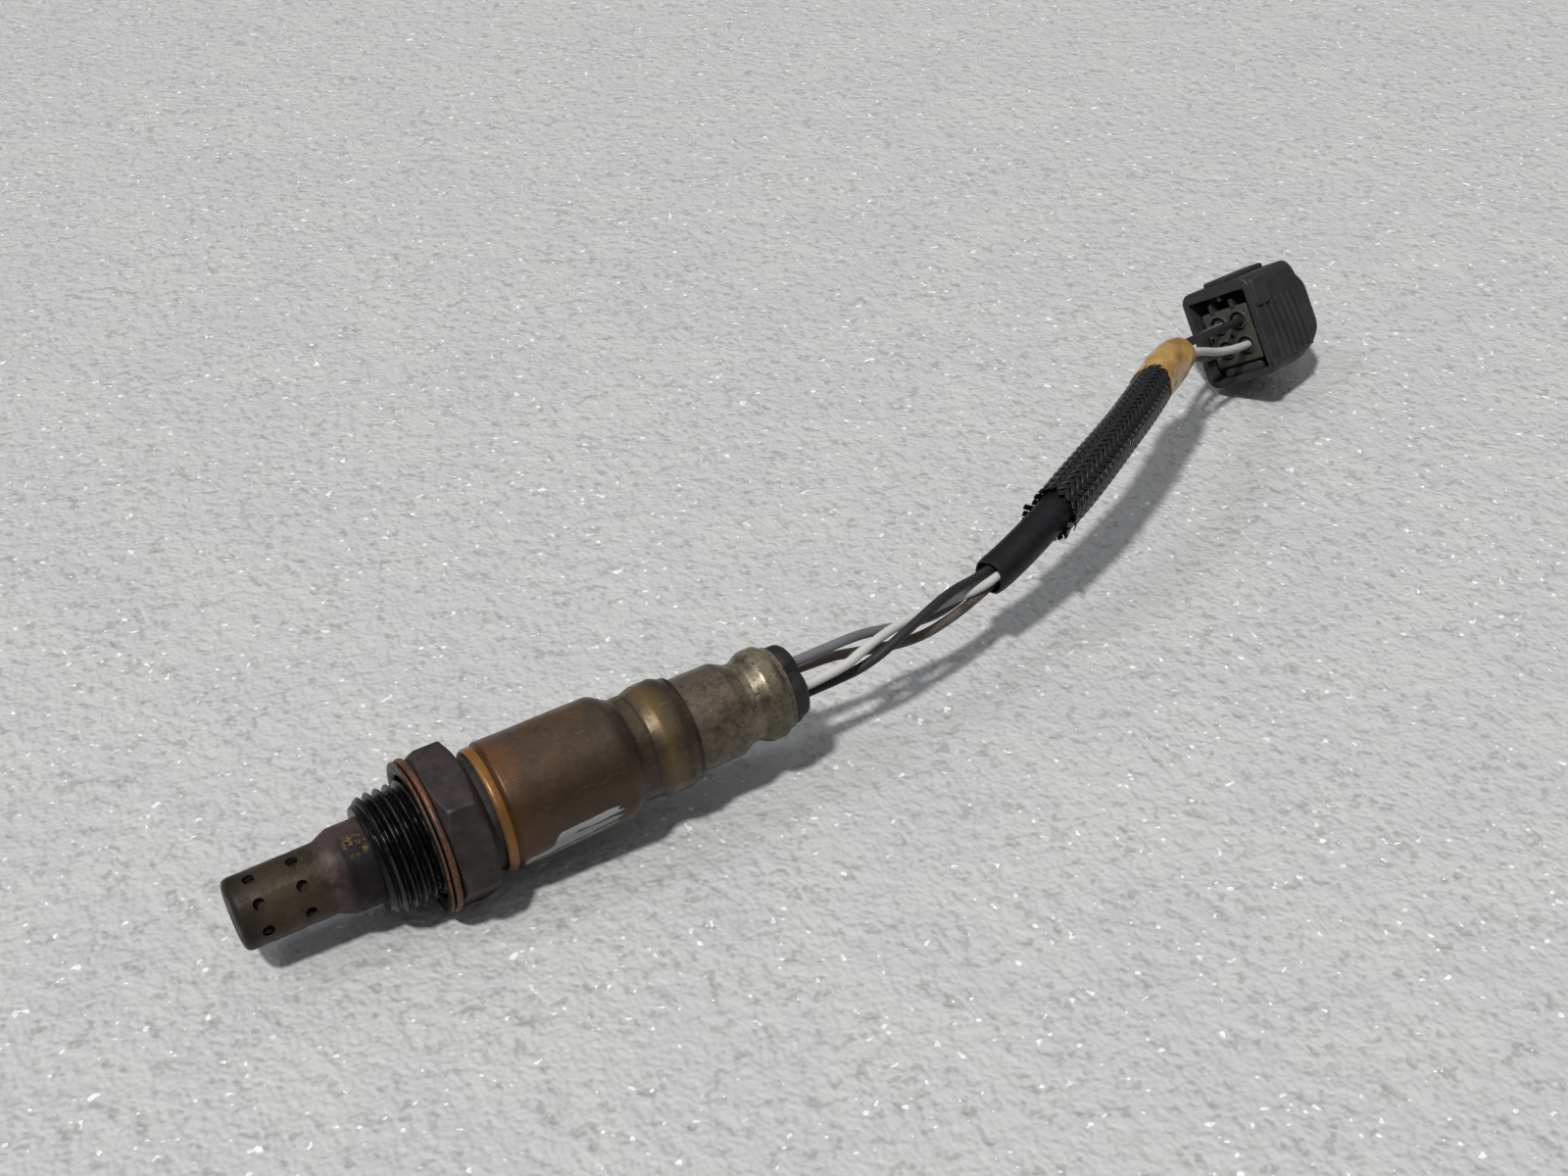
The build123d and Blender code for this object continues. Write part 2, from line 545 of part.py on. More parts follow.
insert = Pos(INSERT_START, 0, INSERT_MIDDLE) * Box(
    INSERT_END - INSERT_START, INSERT_WIDTH, INSERT_HEIGHT, align=middle)
insert = fillet(insert.edges().filter_by(Axis.X), 0.6)
cavities = {
    "grey": (CAVITY_PITCH_ACROSS / 2, CAVITY_PITCH_UP / 2),
    "black": (-CAVITY_PITCH_ACROSS / 2, CAVITY_PITCH_UP / 2),
    "brown": (CAVITY_PITCH_ACROSS / 2, -CAVITY_PITCH_UP / 2),
    "white": (-CAVITY_PITCH_ACROSS / 2, -CAVITY_PITCH_UP / 2),
}
seal_start = INSERT_START + SEAL_RECESS
seal_end = seal_start + SEAL_LENGTH
upwards = (Align.CENTER, Align.CENTER, Align.MIN)
plug_parts = {}
for number, (colour, (across, up)) in enumerate(cavities.items(), start=1):
    along = Pos(0, across, INSERT_MIDDLE + up) * Rot(0, 90, 0)
    insert -= along * Cylinder(CAVITY_DIAMETER / 2, seal_end, align=upwards)
    insert -= along * Cylinder(PIN_BARREL_DIAMETER / 2 + SLIP, PIN_END + SLIP, align=upwards)
    insert -= along * Cylinder(PIN_DIAMETER / 2 - 0.2, INSERT_END + 1, align=upwards)
    seal = Pos(seal_start, 0, 0) * along * (
        Cylinder(CAVITY_DIAMETER / 2, SEAL_LENGTH, align=upwards)
        - Cylinder(WIRE_DIAMETER / 2 + SLIP, SEAL_LENGTH, align=upwards))
    barrel_end = seal_end + SLIP + PIN_BARREL_LENGTH
    pin = Pos(seal_end + SLIP, 0, 0) * along * (
        Cylinder(PIN_BARREL_DIAMETER / 2, PIN_END - seal_end - SLIP, align=upwards)
        - Cylinder(WIRE_DIAMETER / 2 + SLIP, PIN_BARREL_LENGTH - 1.0, align=upwards))
    pin -= Pos(barrel_end + 0.5, 0, 0) * along * Cylinder(PIN_DIAMETER / 2 - 0.2, 20, align=upwards)
    plug_parts["wire_seal_%d" % number] = seal
    plug_parts["contact_socket_%d" % number] = pin
plug_parts["connector_housing"] = housing
plug_parts["connector_insert"] = insert

rear_edge = Vector(*PLUG_PLACE, 0)
trial = Plane(origin=rear_edge, x_dir=mating, z_dir=plug_up)
drop = surface - (trial.location * housing).bounding_box().min.Z
seat = Plane(origin=rear_edge + Vector(0, 0, drop), x_dir=mating, z_dir=plug_up)
for name, shape in plug_parts.items():
    nodes[name] = seat.location * shape

# ================================================================ lead
spine_points = [Vector(*point) for point in SPINE]
spine, spine_radii = smooth_route(SPINE)
nodes["insulating_sleeve"] = swept_tube(spine.trim(*SLEEVING_SPAN), SLEEVING_DIAMETER, SLEEVING_BORE)
nodes["braided_sleeve"] = swept_tube(spine.trim(*BRAID_SPAN), BRAID_DIAMETER, BRAID_BORE)
nodes["adhesive_wrap"] = swept_tube(spine.trim(*WRAP_SPAN), WRAP_DIAMETER, WRAP_BORE)


def bundle_point(index, turn):
    """Place of one wire of the bundle at a point of the covered centre line."""
    before = spine_points[max(index - 1, 0)]
    after = spine_points[min(index + 1, len(spine_points) - 1)]
    heading_here = (after - before).normalized()
    leftwards = Vector(0, 0, 1).cross(heading_here).normalized()
    upwards_here = heading_here.cross(leftwards)
    reach = BUNDLE_CIRCLE / 2
    return (spine_points[index] + leftwards * (reach * cos(radians(turn)))
            + upwards_here * (reach * sin(radians(turn))))


print("centre line of the covered lead: length %.1f, radii %s" % (
    spine.length, [round(radius, 1) for radius in spine_radii]))
for colour in WIRE_TURN:
    y, z = wire_offsets[colour]
    start = (resting * Pos(WIRE_START, y, z)).position
    corner = (resting * Pos(WIRE_CORNER, y, z)).position
    across, up = cavities[colour]
    behind = seat.from_local_coords(Vector(-ENTRY_STRAIGHT, across, INSERT_MIDDLE + up))
    inside_barrel = seat.from_local_coords(
        Vector(seal_end + PIN_BARREL_LENGTH - 1.2, across, INSERT_MIDDLE + up))
    route = [start, corner] + [Vector(*point) for point in FREE_ROUTE[colour]]
    route += [bundle_point(index, BUNDLE_TURN[colour]) for index in range(len(spine_points))]
    route += [behind, inside_barrel]
    path, radii = smooth_route(route)
    nodes["wire_" + colour] = swept_tube(path, WIRE_DIAMETER)
    section = pi * WIRE_DIAMETER ** 2 / 4
    print("wire_%s: length %.1f, volume / (section x length) %.4f, radii %s" % (
        colour, path.length, nodes["wire_" + colour].volume / section / path.length,
        [round(radius, 1) for radius in radii]))
    print("   route", [tuple(round(value, 2) for value in point) for point in route])

# ================================================================ export
# The finished part's origin is the middle of the gasket's front face, which meets the boss.
gasket_thickness = SLIP + GASKET_SHEET + (GASKET_LAYERS - 1) * GASKET_PLEAT
datum = (resting * Pos(gasket_thickness, 0, 0)).position
mouth = datum + seat.from_local_coords(Vector(PLUG_LENGTH - MOUTH_DEPTH / 2, 0, PLUG_HEIGHT / 2))
print("datum %s, surface %.3f, connector rear edge %s, middle of its mouth %s" % (
    tuple(round(value, 4) for value in datum), surface + datum.Z,
    tuple(round(value, 2) for value in datum + seat.origin),
    tuple(round(value, 2) for value in mouth)))
os.makedirs("parts", exist_ok=True)
for name, shape in nodes.items():
    export_step(Pos(*datum) * shape, "parts/%s.step" % name)
    print("%-24s %9.2f mm3" % (name, shape.volume))
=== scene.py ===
"""Looks of a used, heated four-wire exhaust oxygen sensor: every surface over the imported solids.

Sizes are in millimetres along the sensor's own axis "s" (0 at the hexagon's front face, growing
towards the lead). They are turned, shifted and scaled into the row frame's metres when a mesh is
made.
"""

from __future__ import annotations

import logging
import math
import random
from dataclasses import dataclass, field
from enum import Enum
from typing import Callable, Sequence

import bmesh
import bpy
from mathutils import Matrix, Vector

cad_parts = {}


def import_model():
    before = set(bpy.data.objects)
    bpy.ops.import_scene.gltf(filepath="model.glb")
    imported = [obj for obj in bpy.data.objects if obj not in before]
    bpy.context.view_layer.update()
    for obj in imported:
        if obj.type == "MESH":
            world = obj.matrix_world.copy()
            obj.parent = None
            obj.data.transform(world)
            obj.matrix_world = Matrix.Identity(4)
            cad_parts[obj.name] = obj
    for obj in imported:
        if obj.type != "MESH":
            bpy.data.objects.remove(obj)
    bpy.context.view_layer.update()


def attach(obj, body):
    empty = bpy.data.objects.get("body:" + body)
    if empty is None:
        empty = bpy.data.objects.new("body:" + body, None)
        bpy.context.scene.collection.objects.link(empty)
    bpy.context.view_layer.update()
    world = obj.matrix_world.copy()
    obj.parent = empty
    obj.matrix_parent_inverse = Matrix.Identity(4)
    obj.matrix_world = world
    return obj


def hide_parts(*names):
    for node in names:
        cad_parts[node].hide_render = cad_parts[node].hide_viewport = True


LOG = logging.getLogger("oxygen_sensor")
MM = 0.001
TAIL_UP = math.radians(3.4)
DATUM = Vector((1.8368, 0.0, 0.1091))
SURFACE = -11.684
TURN_TO_ROW = Matrix.Translation(DATUM) @ Matrix.Rotation(-TAIL_UP, 4, "Y")

Point = tuple[float, float, float]
Station = tuple[float, float]
Ring = Callable[[float], Station]


def linear(red: int, green: int, blue: int) -> tuple[float, float, float, float]:
    """Turn an everyday 0-255 colour into scene-linear values.

    Args:
        red: Red, 0 to 255.
        green: Green, 0 to 255.
        blue: Blue, 0 to 255.

    Returns:
        Scene-linear red, green, blue and an alpha of one.
    """
    def channel(value: int) -> float:
        """Decode one sRGB channel."""
        part = value / 255
        return part / 12.92 if part <= 0.04045 else ((part + 0.055) / 1.055) ** 2.4

    return channel(red), channel(green), channel(blue), 1.0


def in_metres(place: Matrix) -> Matrix:
    """Turn a place in millimetres into one for a mesh that is already in metres."""
    return Matrix.Scale(MM, 4) @ place @ Matrix.Scale(1 / MM, 4)


# ------------------------------------------------------------------ node trees
class Sheet:
    """A thin layer over a node tree, so that a recipe reads as a list of steps."""

    def __init__(self, tree: bpy.types.NodeTree) -> None:
        """Start on an empty tree."""
        self.tree = tree
        tree.nodes.clear()

    def put(self, kind: str, inputs: dict | None = None, **settings: object) -> bpy.types.Node:
        """Add a node.

        Args:
            kind: The node's type name.
            inputs: Values or sockets for its inputs, by name or number.
            settings: Attributes of the node itself.

        Returns:
            The new node.
        """
        node = self.tree.nodes.new(kind)
        for name, value in settings.items():
            setattr(node, name, value)
        for key, value in (inputs or {}).items():
            socket = node.inputs[key]
            if isinstance(value, bpy.types.NodeSocket):
                self.tree.links.new(value, socket)
            else:
                socket.default_value = value
        return node

    def sum(self, operation: str, first: object, second: object = 0.0, third: object = 0.0,
            clamp: bool = False) -> bpy.types.NodeSocket:
        """Add a Math node and return its value socket."""
        node = self.put("ShaderNodeMath", {0: first, 1: second}, operation=operation,
                        use_clamp=clamp)
        if operation in ("MULTIPLY_ADD", "COMPARE", "SMOOTH_MIN"):
            if isinstance(third, bpy.types.NodeSocket):
                self.tree.links.new(third, node.inputs[2])
            else:
                node.inputs[2].default_value = third
        return node.outputs[0]

    def band(self, value: bpy.types.NodeSocket, low: float, high: float, start: float = 0.0,
             end: float = 1.0) -> bpy.types.NodeSocket:
        """Map a value smoothly from low..high to start..end and return the result."""
        node = self.put("ShaderNodeMapRange", {0: value, 1: low, 2: high, 3: start, 4: end},
                        interpolation_type="SMOOTHSTEP")
        return node.outputs[0]

    def blend(self, mask: object, under: object, over: object,
              mode: str = "MIX") -> bpy.types.NodeSocket:
        """Lay one colour over another through a mask and return the result."""
        node = self.put("ShaderNodeMix", {0: mask, 6: under, 7: over}, data_type="RGBA",
                        blend_type=mode)
        return node.outputs[2]

    def noise(self, vector: object, scale: float, detail: float = 3.0,
              roughness: float = 0.55) -> bpy.types.NodeSocket:
        """Add a noise texture and return its value socket."""
        node = self.put("ShaderNodeTexNoise", {"Vector": vector, "Scale": scale,
                                               "Detail": detail, "Roughness": roughness})
        return node.outputs[0]

    def ramp(self, value: bpy.types.NodeSocket,
             stops: Sequence[tuple[float, tuple]]) -> bpy.types.NodeSocket:
        """Add a colour ramp with the given stops and return its colour socket."""
        node = self.put("ShaderNodeValToRGB", {0: value})
        marks = node.color_ramp.elements
        while len(marks) > 1:
            marks.remove(marks[-1])
        marks[0].position, marks[0].color = stops[0]
        for position, colour in stops[1:]:
            marks.new(position).color = colour
        return node.outputs[0]


def group(name: str, inputs: Sequence[tuple[str, str, object]], outputs: Sequence[tuple[str, str]],
          fill: Callable[[Sheet, bpy.types.Node], dict[str, object]]) -> bpy.types.NodeTree:
    """Make a shader node group.

    Args:
        name: The group's name.
        inputs: Name, socket type and default of each input.
        outputs: Name and socket type of each output.
        fill: Builds the inside and returns a socket for each output name.

    Returns:
        The group's node tree.
    """
    tree = bpy.data.node_groups.new(name, "ShaderNodeTree")
    for label, kind, default in inputs:
        socket = tree.interface.new_socket(label, in_out="INPUT", socket_type=kind)
        if default is not None:
            socket.default_value = default
    for label, kind in outputs:
        tree.interface.new_socket(label, in_out="OUTPUT", socket_type=kind)
    sheet = Sheet(tree)
    entry = sheet.put("NodeGroupInput")
    results = fill(sheet, entry)
    sheet.put("NodeGroupOutput", results)
    return tree


class SharedEffects:
    """Shader groups that several finishes use."""

    def __init__(self) -> None:
        """Build every shared group once."""
        self.axis = self._axis()
        self.grime = self._grime()
        self.scratches = self._scratches()
        self.worn_edge = self._worn_edge()

    @staticmethod
    def _axis() -> bpy.types.NodeTree:
        """Coordinates along the sensor: millimetres of s, radius and the angle round it."""
        def fill(sheet: Sheet, entry: bpy.types.Node) -> dict[str, object]:
            """Turn object coordinates into the sensor's own."""
            place = sheet.put("ShaderNodeTexCoord").outputs["Object"]
            back = -(Matrix.Rotation(TAIL_UP, 3, "Y") @ DATUM)
            turned = sheet.put("ShaderNodeMapping", {0: place, 1: tuple(back),
                                                     2: (0, TAIL_UP, 0), 3: (1000, 1000, 1000)})
            parts = sheet.put("ShaderNodeSeparateXYZ", {0: turned.outputs[0]})
            across, up = parts.outputs[1], parts.outputs[2]
            radius = sheet.sum("SQRT", sheet.sum("ADD", sheet.sum("MULTIPLY", across, across),
                                                 sheet.sum("MULTIPLY", up, up)))
            angle = sheet.sum("ARCTAN2", up, sheet.sum("MULTIPLY", across, -1.0))
            turn = sheet.sum("MULTIPLY", angle, 180 / math.pi)
            return {"Along": parts.outputs[0], "Radius": radius, "Turn": turn,
                    "Place": turned.outputs[0]}

        outputs = [("Along", "NodeSocketFloat"), ("Radius", "NodeSocketFloat"),
                   ("Turn", "NodeSocketFloat"), ("Place", "NodeSocketVector")]
        return group("sensor_axis", [], outputs, fill)

    @staticmethod
    def _grime() -> bpy.types.NodeTree:
        """Uneven patches of dirt: a mask from two sizes of noise."""
        def fill(sheet: Sheet, entry: bpy.types.Node) -> dict[str, object]:
            """Mix large patches with a fine speckle."""
            place = sheet.put("ShaderNodeTexCoord").outputs["Object"]
            large = sheet.put("ShaderNodeTexNoise", {
                "Vector": place, "Scale": entry.outputs["Scale"], "Detail": 5.0,
                "Roughness": 0.62})
            finer = sheet.sum("MULTIPLY", entry.outputs["Scale"], 5.3)
            fine = sheet.put("ShaderNodeTexNoise", {"Vector": place, "Scale": finer,
                                                    "Detail": 4.0, "Roughness": 0.7})
            mixed = sheet.sum("MULTIPLY_ADD", fine.outputs[0], 0.45,
                              sheet.sum("MULTIPLY", large.outputs[0], 0.55))
            reach = sheet.sum("MULTIPLY", entry.outputs["Amount"], 0.42)
            level = sheet.sum("SUBTRACT", 0.72, reach)
            mask = sheet.put("ShaderNodeMapRange", {0: mixed, 1: level,
                                                    2: sheet.sum("ADD", level, 0.12)})
            return {"Mask": mask.outputs[0]}

        return group("patchy_grime", [("Scale", "NodeSocketFloat", 200.0),
                                      ("Amount", "NodeSocketFloat", 0.5)],
                     [("Mask", "NodeSocketFloat")], fill)

    @staticmethod
    def _scratches() -> bpy.types.NodeTree:
        """Fine scratches: stretched noise, cut to thin lines."""
        def fill(sheet: Sheet, entry: bpy.types.Node) -> dict[str, object]:
            """Stretch noise one way and keep its crest."""
            place = sheet.put("ShaderNodeTexCoord").outputs["Object"]
            turned = sheet.put("ShaderNodeMapping", {0: place, 2: entry.outputs["Turn"],
                                                     3: (120.0, 2200.0, 2200.0)})
            lines = sheet.put("ShaderNodeTexNoise", {"Vector": turned.outputs[0], "Scale": 1.0,
                                                     "Detail": 2.0})
            off = sheet.sum("ABSOLUTE", sheet.sum("SUBTRACT", lines.outputs[0], 0.5))
            thin = sheet.sum("SUBTRACT", 1.0, sheet.sum("DIVIDE", off, 0.012), clamp=True)
            patches = sheet.noise(place, 260.0, 2.0)
            here = sheet.band(patches, 0.52, 0.62)
            return {"Mask": sheet.sum("MULTIPLY", thin, here)}

        return group("fine_scratches", [("Turn", "NodeSocketVector", None)],
                     [("Mask", "NodeSocketFloat")], fill)

    @staticmethod
    def _worn_edge() -> bpy.types.NodeTree:
        """Rubbed edges: the sharper a convex edge, the more it shows."""
        def fill(sheet: Sheet, entry: bpy.types.Node) -> dict[str, object]:
            """Break pointiness up with noise."""
            place = sheet.put("ShaderNodeTexCoord").outputs["Object"]
            sharp = sheet.put("ShaderNodeNewGeometry").outputs["Pointiness"]
            broken = sheet.sum("MULTIPLY_ADD", sheet.noise(place, 900.0, 4.0), 0.06, sharp)
            low = sheet.sum("SUBTRACT", 0.585, entry.outputs["Amount"])
            mask = sheet.put("ShaderNodeMapRange", {0: broken, 1: low,
                                                    2: sheet.sum("ADD", low, 0.05)})
            return {"Mask": mask.outputs[0]}

        return group("worn_edge", [("Amount", "NodeSocketFloat", 0.0)],
                     [("Mask", "NodeSocketFloat")], fill)


class Dressing:
    """A material being built: its sheet, its shader and the shared effects."""

    def __init__(self, name: str, effects: SharedEffects, **sockets: object) -> None:
        """Start a material with constants on the shader's own sockets."""
        self.material = bpy.data.materials.new(name)
        self.material.use_nodes = True
        self.sheet = Sheet(self.material.node_tree)
        self.effects = effects
        self.shader = self.sheet.put("ShaderNodeBsdfPrincipled", {
            key.replace("_", " "): value for key, value in sockets.items()})
        self.sheet.put("ShaderNodeOutputMaterial", {0: self.shader.outputs[0]})

    def use(self, tree: bpy.types.NodeTree, inputs: dict | None = None) -> bpy.types.Node:
        """Place one of the shared groups."""
        node = self.sheet.put("ShaderNodeGroup", node_tree=tree)
        for key, value in (inputs or {}).items():
            if isinstance(value, bpy.types.NodeSocket):
                self.sheet.tree.links.new(value, node.inputs[key])
            else:
                node.inputs[key].default_value = value
        return node

    def grime(self, scale: float, amount: float) -> bpy.types.NodeSocket:
        """Patchy dirt mask."""
        return self.use(self.effects.grime, {"Scale": scale, "Amount": amount}).outputs[0]

    def wire_in(self, **sockets: bpy.types.NodeSocket) -> None:
        """Link sockets into the shader by name."""
        for key, value in sockets.items():
            self.sheet.tree.links.new(value, self.shader.inputs[key.replace("_", " ")])

    def bump(self, height: bpy.types.NodeSocket, strength: float, distance: float) -> None:
        """Give the surface relief from a height socket; distance in millimetres."""
        node = self.sheet.put("ShaderNodeBump", {"Strength": strength, "Distance": distance * MM,
                                                 "Height": height})
        self.sheet.tree.links.new(node.outputs[0], self.shader.inputs["Normal"])

    def object_place(self) -> bpy.types.NodeSocket:
        """Object coordinates."""
        return self.sheet.put("ShaderNodeTexCoord").outputs["Object"]


# ------------------------------------------------------------------ finishes
@dataclass(frozen=True)
class ProbeSteel:
    """Heat-tinted steel of the protection tube, stained black with carbon, with painted shade below
    its top on its wide rear part.
    """

    name: str = "probe_steel"
    bare: tuple = linear(76, 63, 52)
    olive: tuple = linear(64, 57, 42)
    purple: tuple = linear(80, 65, 63)
    # Carbon black, and also the colour of the painted shade on the wide rear part.
    soot_and_shade: tuple = linear(20, 18, 17)
    rust: tuple = linear(114, 90, 62)

    def build(self, effects: SharedEffects) -> bpy.types.Material:
        """Make the material.

        Args:
            effects: The shared shader groups.

        Returns:
            The finished material.
        """
        d = Dressing(self.name, effects, Metallic=0.4, Specular_IOR_Level=0.35)
        s = d.sheet
        axis = d.use(effects.axis)
        along, turn = axis.outputs["Along"], axis.outputs["Turn"]
        place = d.object_place()
        tint = s.blend(s.band(s.noise(place, 130.0, 3.0), 0.4, 0.62), self.bare, self.olive)
        tint = s.blend(s.band(along, -17.2, -15.6), tint, self.purple)
        soot_and_shade_mask = s.sum("MULTIPLY", d.grime(150.0, 0.5), s.band(along, -30.0, -12.0, 0.3, 0.7))
        tint = s.blend(soot_and_shade_mask, tint, self.soot_and_shade)
        tint = s.blend(s.band(along, -24.0, -29.0, 0.0, 0.7), tint, self.soot_and_shade)
        # Painted shade: from the flare back, the tube darkens all round except along its top.
        lower = s.band(turn, 102.0, 62.0)
        soot_and_shade_mask = s.sum("MULTIPLY", lower, s.band(along, -15.8, -12.8, 0.0, 0.95))
        tint = s.blend(soot_and_shade_mask, tint, self.soot_and_shade)
        near = s.sum("MULTIPLY", s.band(along, -13.2, -11.8), s.band(along, -9.3, -9.7))
        side = s.sum("MULTIPLY", s.band(turn, 48.0, 64.0), s.band(turn, 92.0, 78.0))
        crust = s.sum("MULTIPLY", s.sum("MULTIPLY", near, side),
                      s.band(s.noise(place, 1300.0, 4.0), 0.5, 0.58))
        tint = s.blend(crust, tint, self.rust)
        specks = s.band(s.noise(place, 2600.0, 2.0), 0.68, 0.74)
        tint = s.blend(s.sum("MULTIPLY", specks, 0.7), tint, self.soot_and_shade)
        rough = s.band(s.noise(place, 500.0, 4.0), 0.3, 0.7, 0.42, 0.72)
        d.wire_in(Base_Color=tint, Roughness=rough)
        d.bump(s.sum("ADD", s.noise(place, 1800.0, 4.0), s.sum("MULTIPLY", crust, 2.0)), 0.35, 0.12)
        return d.material


@dataclass(frozen=True)
class ShellSteel:
    """Blackened steel: a glossy thread with painted sheen on its crests, a matt purplish hexagon.
    """

    name: str = "shell_steel"
    black: tuple = linear(11, 11, 13)
    # Painted sheen for the thread's crests.
    crest_sheen: tuple = linear(56, 57, 61)
    hexagon: tuple = linear(70, 63, 60)
    edge: tuple = linear(104, 96, 90)
    rust: tuple = linear(70, 50, 38)

    def build(self, effects: SharedEffects) -> bpy.types.Material:
        """Make the material.

        Args:
            effects: The shared shader groups.

        Returns:
            The finished material.
        """
        d = Dressing(self.name, effects, Metallic=0.3, Specular_IOR_Level=0.35)
        s = d.sheet
        axis = d.use(effects.axis)
        along, radius = axis.outputs["Along"], axis.outputs["Radius"]
        place = d.object_place()
        patchy = s.noise(place, 420.0, 5.0, 0.65)
        # Painted sheen: in patches, the thread's crests are drawn lighter than its roots.
        tip = s.sum("MULTIPLY", s.band(radius, 8.72, 8.98), s.band(patchy, 0.38, 0.62))
        thread = s.blend(s.sum("MULTIPLY", tip, 0.75), self.black, self.crest_sheen)
        dusty = s.band(s.noise(place, 1100.0, 4.0), 0.62, 0.7)
        thread = s.blend(s.sum("MULTIPLY", dusty, 0.25), thread, self.rust)
        flats = s.blend(s.band(patchy, 0.3, 0.75), linear(52, 46, 45), self.hexagon)
        flats = s.blend(s.sum("MULTIPLY", d.use(effects.worn_edge, {"Amount": 0.02}).outputs[0],
                              0.6), flats, self.edge)
        flats = s.blend(s.sum("MULTIPLY", d.grime(260.0, 0.45), 0.5), flats, linear(40, 34, 34))
        tint = s.blend(s.band(along, -0.3, 0.0), thread, flats)
        gloss = s.band(patchy, 0.3, 0.7, 0.2, 0.42)
        matt = s.band(patchy, 0.3, 0.7, 0.5, 0.66)
        rough = s.put("ShaderNodeMix", {0: s.band(along, -0.3, 0.0), 2: gloss, 3: matt})
        d.wire_in(Base_Color=tint, Roughness=rough.outputs[0])
        d.bump(s.sum("ADD", s.noise(place, 1500.0, 4.0), s.noise(place, 380.0, 3.0)), 0.4, 0.09)
        return d.material


@dataclass(frozen=True)
class GasketCopper:
    """Dull copper-brown sheet of the crush gasket."""

    name: str = "gasket_copper"
    copper: tuple = linear(122, 84, 64)
    brown: tuple = linear(84, 66, 56)
    dark: tuple = linear(30, 25, 23)

    def build(self, effects: SharedEffects) -> bpy.types.Material:
        """Make the material.

        Args:
            effects: The shared shader groups.

        Returns:
            The finished material.
        """
        d = Dressing(self.name, effects, Metallic=0.5)
        s = d.sheet
        axis = d.use(effects.axis)
        place = d.object_place()
        tint = s.blend(s.band(s.noise(place, 300.0, 4.0), 0.35, 0.65), self.brown, self.copper)
        tint = s.blend(s.band(axis.outputs["Radius"], 11.45, 10.9), tint, self.dark)
        tint = s.blend(s.sum("MULTIPLY", d.grime(320.0, 0.5), 0.65), tint, self.dark)
        d.wire_in(Base_Color=tint, Roughness=s.band(s.noise(place, 900.0), 0.3, 0.7, 0.38, 0.62))
        d.bump(s.noise(place, 1400.0, 4.0), 0.3, 0.08)
        return d.material


